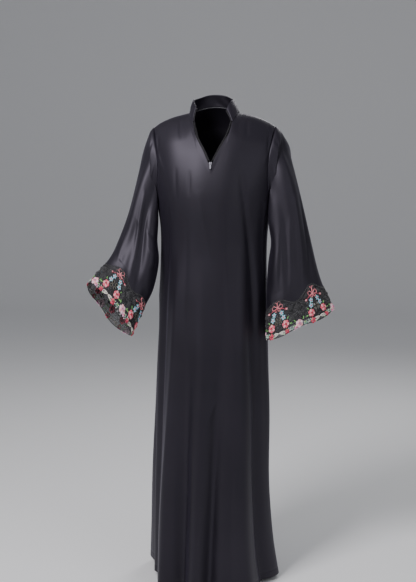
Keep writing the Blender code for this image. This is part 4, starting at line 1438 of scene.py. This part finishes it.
def add_motif(pile, centre, dice):
    """One coloured repeat of the trim, from its flower down to the scalloped edge."""
    flower = np.array((centre, FLOWER_HEIGHT))
    add_loop_flower(pile, flower, 90 + dice.uniform(-FLOWER_SWING, FLOWER_SWING))
    for side in (RIGHT, LEFT):
        def at(x, y):
            return np.array((centre + side * x, y))

        add_bud(pile, at(*BUD_TIP), flower + (side * BUD_ROOT[0], BUD_ROOT[1]))
        for x, y, size, turn in STARS:
            add_star(pile, at(x, y), size, turn + dice.uniform(-STAR_SWING, STAR_SWING))
        vine = smooth_path([at(*point) for point in VINE], VINE_POINTS)
        add_cord(pile, vine, CORDS["vine"], "leaf_thread")
        add_rose(pile, at(*SIDE_ROSE), SIDE_ROSE_RADIUS, PINK_ROSE, dice.uniform(0, ROSE_SWING))
        add_leaves(pile, centre, side, SIDE_LEAVES)
        for length, width, lift in EDGE_LOOPS:
            outline = petal(length, width, EDGE_LOOP_TAPER, EDGE_LOOP_POINTS)
            loop = turned(outline, at(*EDGE_LOOP_ROOT), 90 - side * EDGE_LOOP_TURN)
            add_cord(pile, loop, (*EDGE_LOOP_CORD, lift), "cream_thread", closed=True)
        add_leaves(pile, centre, side, EDGE_LEAVES)
    add_roses(pile, centre, REPEAT_ROSES, dice)
    add_window(pile, centre)


def add_between(pile, centre, dice):
    """The net stretch between two repeats: a pale rose and a mint vine along the edge."""
    add_roses(pile, centre, BETWEEN_ROSES, dice)
    steps = np.arange(MINT_COUNT)
    y = MINT_START[1] + MINT_SWING * np.where(steps % 2, 1.0, -1.0) + MINT_STEP[1] * steps
    for side in (RIGHT, LEFT):
        x = centre + side * (MINT_START[0] + MINT_STEP[0] * steps)
        vine = smooth_path(np.column_stack((x, y)), MINT_POINTS)
        add_cord(pile, vine, CORDS["mint vine"], "mint_thread")
        for index in range(1, MINT_COUNT, 2):
            turn = 90 + side * dice.uniform(*MINT_LEAF_SWING)
            add_leaf(pile, (x[index], y[index]), MINT_LEAF, turn, ("mint_thread", "cream_thread"))
        for index in range(2, MINT_COUNT, 3):
            outline = turned(petal(*DOT), (x[index], y[index] - DOT_DROP), 0)
            add_dome(pile, outline, DOMES["dot"], "cream_thread", "pale_thread")
        add_leaves(pile, centre, side, BETWEEN_LEAVES)


def add_black_work(pile, centre, dice):
    """Black flowers, leaves and scrolls that fill the lace ground of one repeat."""
    add_roses(pile, centre, [(*row, BLACK_ROSE, ROSE_PETALS) for row in BLACK_ROSES], dice)
    # Leaf ribs and scrolls take the lighter black, a painted sheen on the raised cords.
    for x, y, length, degrees in BLACK_LEAVES:
        add_leaf(pile, (centre + x, y), length, degrees, ("black_thread", "glossy_thread"))
    for path in BLACK_SCROLLS:
        moved = np.array(path) + (centre, 0.0)
        add_cord(pile, smooth_path(moved, SCROLL_POINTS), CORDS["scroll"], "glossy_thread")


def make_trim(side, word):
    """The raised embroidery and black work of one cuff."""
    cuff = cuff_angle(side)
    dice = np.random.default_rng(DICE_START + side)
    colour, black = Pile(), Pile()
    for repeat in range(REPEATS):
        middle = (MOTIF_PLACE[side] + repeat / REPEATS) * cuff[0]
        between = middle + cuff[0] / REPEATS / 2
        add_motif(colour, middle, dice)
        add_between(colour, between, dice)
        add_black_work(black, between, dice)
    add_edge_cords(black, side, cuff)

    def put(across, above, out):
        return on_cuff(side, cuff, across, above, LAY_GAP + LACE_WALL + out)

    return (
        place(colour.build("embroidery_" + word, put)),
        place(black.build("black_work_" + word, put)),
    )


def add_edge_cords(pile, side, cuff):
    """Cords along the lace's scalloped upper and lower edges, with small picots above."""
    shares = np.linspace(0.0, 1.0, EDGE_POINTS, endpoint=False)
    across = shares * cuff[0]
    low, top = lace_edges(side, shares)[:2]
    for height in (top - EDGE_CORD_INSET, low + EDGE_CORD_INSET):
        line = np.column_stack((across, height))
        ring = np.concatenate((line, [line[0] + (cuff[0], 0.0)]))
        add_cord(pile, ring, CORDS["edge"], "black_thread")
    for index in range(0, EDGE_POINTS, PICOT_EVERY):
        root = (across[index], top[index] - PICOT_INSET)
        add_dome(pile, turned(petal(*PICOT), root, 90), DOMES["picot"], "black_thread")


def in_window(side, cuff, across, above):
    """Which places lie in the holes of the openwork windows."""
    repeat = cuff[0] / REPEATS
    x = (across - MOTIF_PLACE[side] * cuff[0] + repeat / 2) % repeat - repeat / 2
    inside = np.zeros(x.shape, dtype=bool)
    for hole_x, hole_y, width, height in WINDOW_HOLES:
        inside |= np.hypot((x - hole_x) / (width / 2), (above - hole_y) / (height / 2)) < 1.0
    return inside


def make_lace_shell(name, side):
    """The lace ground round a cuff, lapping over the sleeve's end and hanging below it."""
    cuff = cuff_angle(side)
    shares = np.linspace(0.0, 1.0, LACE_COLUMNS + 1)
    low, top, wave = lace_edges(side, shares[:, None])
    above = low + (top - low) * np.linspace(0.0, 1.0, LACE_ROWS)[None, :]
    across = np.broadcast_to((shares * cuff[0])[:, None], above.shape)
    out = np.full(above[:-1].shape, LAY_GAP + LACE_WALL)
    points = on_cuff(side, cuff, across[:-1], above[:-1], out)
    middle_x = (across[1:, 1:] + across[:-1, :-1]) / 2
    middle_y = (above[1:, 1:] + above[:-1, :-1]) / 2
    item = grid_object(
        name, points, ["lace_net"], closed=True, wall=LACE_WALL,
        places=np.stack((across, above), axis=-1), keep=~in_window(side, cuff, middle_x, middle_y),
        density=smooth_step((above - NET_HEIGHT * (1 - wave)) / NET_FADE)[:-1],
    )
    word = SIDE_WORD[side]
    nodes = (f"lace_cuff_{word}_front", f"lace_cuff_{word}_back")
    return place(item, replaced=nodes)


def surface_finder(items):
    """A call that gives the nearest point and outward normal on the shells of some pieces."""
    trees = []
    for item in items:
        data = item.data
        points = [vert.co for vert in data.vertices]
        trees.append(BVHTree.FromPolygons(points, [tuple(face.vertices) for face in data.polygons]))

    def find(point):
        hits = [tree.find_nearest(Vector(point)) for tree in trees]
        best = min(hits, key=lambda hit: hit[3])
        return np.array(best[0]), np.array(best[1])

    return find


def add_stitches(pile, path, find):
    """Short threads along a path, each lying on the cloth's surface."""
    travelled = distance_along(path)
    halves = (-STITCH_LENGTH / 2, STITCH_LENGTH / 2)
    sides = STITCH_SIDES
    faces = [(i, (i + 1) % sides, sides) for i in range(sides)]
    faces += [((i + 1) % sides, i, sides + 1) for i in range(sides)]
    for middle in np.arange(STITCH_PITCH / 2, travelled[-1], STITCH_PITCH):
        ends = [
            np.array([np.interp(middle + half, travelled, path[:, k]) for k in range(3)])
            for half in halves
        ]
        centre, normal = find((ends[0] + ends[1]) / 2)
        run = unit(ends[1] - ends[0])
        across = unit(np.cross(run, normal))
        ring = [
            centre + across * STITCH_RADIUS * math.cos(turn) + normal * STITCH_RADIUS * math.sin(turn)
            for turn in np.linspace(0.0, 2 * math.pi, sides, endpoint=False)
        ]
        tips = [centre + run * half - normal * STITCH_SINK for half in halves]
        pile.add(ring + tips, np.zeros((sides + 2, 2)), faces, "stitch_thread")


def slit_path(side):
    """Places across, heights and points along one open edge of the front, from its foot upwards."""
    x = np.linspace(SLIT_START, COLLAR_CORNER[0], SLIT_POINTS)
    z = top_edge_height(side, False, x)
    angle = np.arcsin(x / read_curve(HALF_WIDTH[side], z))
    return x, z, ring_point(side, False, angle, z)


def make_stitching(panels, collar):
    """Topstitching of the hem, the placket and the collar."""
    pile = Pile()
    find = surface_finder(panels)
    for back in (False, True):
        add_stitches(pile, panel_surface(back)[:, HEM_STITCH_ROW], find)
    for side in (RIGHT, LEFT):
        x, z, _ = slit_path(side)
        run = unit(np.gradient(np.column_stack((x, z)), axis=0))
        away = np.column_stack((run[:, 1], -run[:, 0])) * PLACKET_WIDTH
        x, z = x + away[:, 0], z + away[:, 1]
        angle = np.arcsin(np.clip(x / read_curve(HALF_WIDTH[side], z), 0.0, 1.0))
        add_stitches(pile, ring_point(side, False, angle, z), find)
    foot = np.linspace(SLIDER_FOOT_Z, PLACKET_END_Z, PLACKET_END_POINTS)
    add_stitches(pile, ring_point(LEFT, False, np.full(foot.shape, PLACKET_END_ANGLE), foot), find)
    find = surface_finder([collar])
    rows = collar_surface(COLLAR_STITCH_ROWS)
    for line in range(len(COLLAR_STITCH_ROWS)):
        add_stitches(pile, rows[:, line], find)
    place(pile.build("topstitching"))


def box_shape(centre, along, across, out, sizes):
    """Points and faces of a small block with its long edges taken off."""
    half = np.array(sizes) / 2
    points = []
    for a in (-1, 1):
        for b, c in CHAMFERED_CORNERS:
            point = centre + along * half[0] * a + across * half[1] * b + out * half[2] * c
            points.append(point)
    count = len(CHAMFERED_CORNERS)
    faces = [(i, (i + 1) % count, count + (i + 1) % count, count + i) for i in range(count)]
    faces += [tuple(range(count - 1, -1, -1)), tuple(range(count, 2 * count))]
    return np.array(points), faces


def add_teeth(pile, edge, to_opening, outwards, reach):
    """Zip teeth along an edge, at a reach beyond it."""
    travelled = distance_along(edge)
    for middle in np.arange(TOOTH_PITCH / 2, travelled[-1], TOOTH_PITCH):
        def read(values):
            return np.array([np.interp(middle, travelled, values[:, k]) for k in range(3)])

        opening = unit(read(to_opening))
        out = read(outwards)
        out = unit(out - opening * (out @ opening))
        along = np.cross(opening, out)
        centre = read(edge) + opening * np.interp(middle, travelled, reach) - out * TOOTH_DEPTH
        points, faces = box_shape(centre, opening, along, out, TOOTH_SIZE)
        pile.add(points, np.zeros((len(points), 2)), faces, "tooth_metal")


def make_zip_teeth():
    """Two rows of teeth, from the slider up both open edges and up the collar's ends."""
    pile, tape = Pile(), Pile()
    collar = collar_surface(np.linspace(*COLLAR_TEETH_ROWS))
    for side in (RIGHT, LEFT):
        x, z, edge = slit_path(side)
        below = z - SLIT_STEP
        lower = ring_point(side, False, np.arcsin(x / read_curve(HALF_WIDTH[side], below)), below)
        run = unit(np.gradient(edge, axis=0))
        outwards = unit(np.cross(lower - edge, run)) * side
        outwards = np.where(outwards[:, 1:2] > 0, -outwards, outwards)
        opening = unit(np.cross(run, outwards))
        opening = np.where(opening[:, :1] * side > 0, -opening, opening)
        slope = unit(np.gradient(np.column_stack((x, z)), axis=0))[:, 1]
        reach = np.minimum(TAPE_SHOWN, (x - 2 * SEAM_GAP) / np.maximum(slope, LEAST_SLOPE))
        add_teeth(pile, edge, opening, outwards, reach)
        end, inner = (collar[0], collar[1]) if side == RIGHT else (collar[-1], collar[-2])
        opening = unit(end - inner)
        rise = unit(np.gradient(end, axis=0))
        outwards = unit(np.cross(rise, opening)) * -side
        outwards = np.where(np.sum(outwards * end, axis=1, keepdims=True) < 0, -outwards, outwards)
        add_teeth(pile, end, opening, outwards, np.full(len(end), COLLAR_TAPE_SHOWN))
        add_collar_tape(tape, end, opening, outwards)
    place(pile.build("zip_teeth"))
    place(tape.build("collar_tape"))


def add_collar_tape(pile, end, opening, outwards):
    """The zip's tape where it goes on behind one end of the collar."""
    count = len(end)
    near = end + opening * COLLAR_TAPE_SHOWN
    far = end - opening * TAPE_HIDDEN
    front = -outwards * (CLOTH_WALL + TAPE_CLEAR)
    back = front - outwards * TAPE_WALL
    points = np.concatenate((near + front, far + front, far + back, near + back))
    faces = []
    for line in range(4):
        beside = (line + 1) % 4 * count
        first = line * count
        faces += [(first + i, first + i + 1, beside + i + 1, beside + i) for i in range(count - 1)]
    faces.append(tuple(line * count for line in range(4)))
    faces.append(tuple(line * count + count - 1 for line in range(4))[::-1])
    pile.add(points, np.zeros((len(points), 2)), faces, "zip_tape")


def make_stage():
    """A plain pale floor that curves up into a plain wall."""
    bend_start = STAGE_FAR - STAGE_BEND
    profile = [(STAGE_NEAR, 0.0), (bend_start, 0.0)]
    for step in range(1, STAGE_BEND_STEPS + 1):
        turn = math.pi / 2 * step / STAGE_BEND_STEPS
        profile.append((bend_start + STAGE_BEND * math.sin(turn), STAGE_BEND * (1 - math.cos(turn))))
    profile.append((STAGE_FAR, STAGE_HEIGHT))
    floor_z = HEM_Z - FLOOR_DROP
    points = [
        (x, y, floor_z + z) for x in (-STAGE_WIDTH / 2, STAGE_WIDTH / 2) for y, z in profile
    ]
    count = len(profile)
    faces = [(i, i + 1, count + i + 1, count + i) for i in range(count - 1)]
    mesh_object("studio_floor", points, faces, ["floor"])


def add_light(name, place_at, aim, size, power, color):
    """A large soft area light."""
    lamp = bpy.data.lights.new(name, "AREA")
    lamp.shape = "DISK"
    lamp.size = size
    lamp.energy = power
    lamp.color = color
    item = bpy.data.objects.new(name, lamp)
    bpy.context.collection.objects.link(item)
    direction = np.array(aim) - np.array(place_at)
    item.location = place_at
    item.rotation_euler = Vector(direction).to_track_quat("-Z", "Y").to_euler()


def make_lights():
    """Soft studio light, strongest from the upper left."""
    for row in LIGHTS:
        add_light(*row)
    world = bpy.data.worlds.new("studio")
    bpy.context.scene.world = world
    world.use_nodes = True
    set_inputs(world.node_tree.nodes["Background"], {"Color": WORLD_COLOUR, "Strength": WORLD_STRENGTH})


def make_camera():
    """The photograph's viewpoint."""
    lens = bpy.data.cameras.new("camera")
    lens.sensor_fit = "HORIZONTAL"
    lens.sensor_width = SENSOR_WIDTH
    lens.lens = FOCAL_PIXELS / FRAME_WIDTH * SENSOR_WIDTH
    item = bpy.data.objects.new("camera", lens)
    bpy.context.collection.objects.link(item)
    item.location = CAMERA_PLACE
    item.rotation_euler = [math.radians(degrees) for degrees in CAMERA_DEGREES]
    bpy.context.scene.camera = item


def finish_solids():
    """Give the zip's own solids their finishes, and soften the edges of the metal."""
    for node, name in SOLID_FINISHES.items():
        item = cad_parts[node]
        item.data.materials.clear()
        item.data.materials.append(finish(name))
        if name == "zip_metal":
            soft = item.modifiers.new("edges", "BEVEL")
            soft.width = METAL_EDGE
            soft.segments = METAL_EDGE_STEPS


make_camera()
make_stage()
make_lights()
front = make_panel("front_cloth", False, "front_panel")
back = make_panel("back_cloth", True, "back_panel")
collar = make_collar("collar_cloth", "collar")
for side, word in SIDE_WORD.items():
    sleeve = make_sleeve("sleeve_cloth_" + word, side, "sleeve_" + word)
    lace = make_lace_shell("lace_" + word, side)
    make_trim(side, word)
make_stitching([front, back], collar)
make_zip_teeth()
finish_solids()
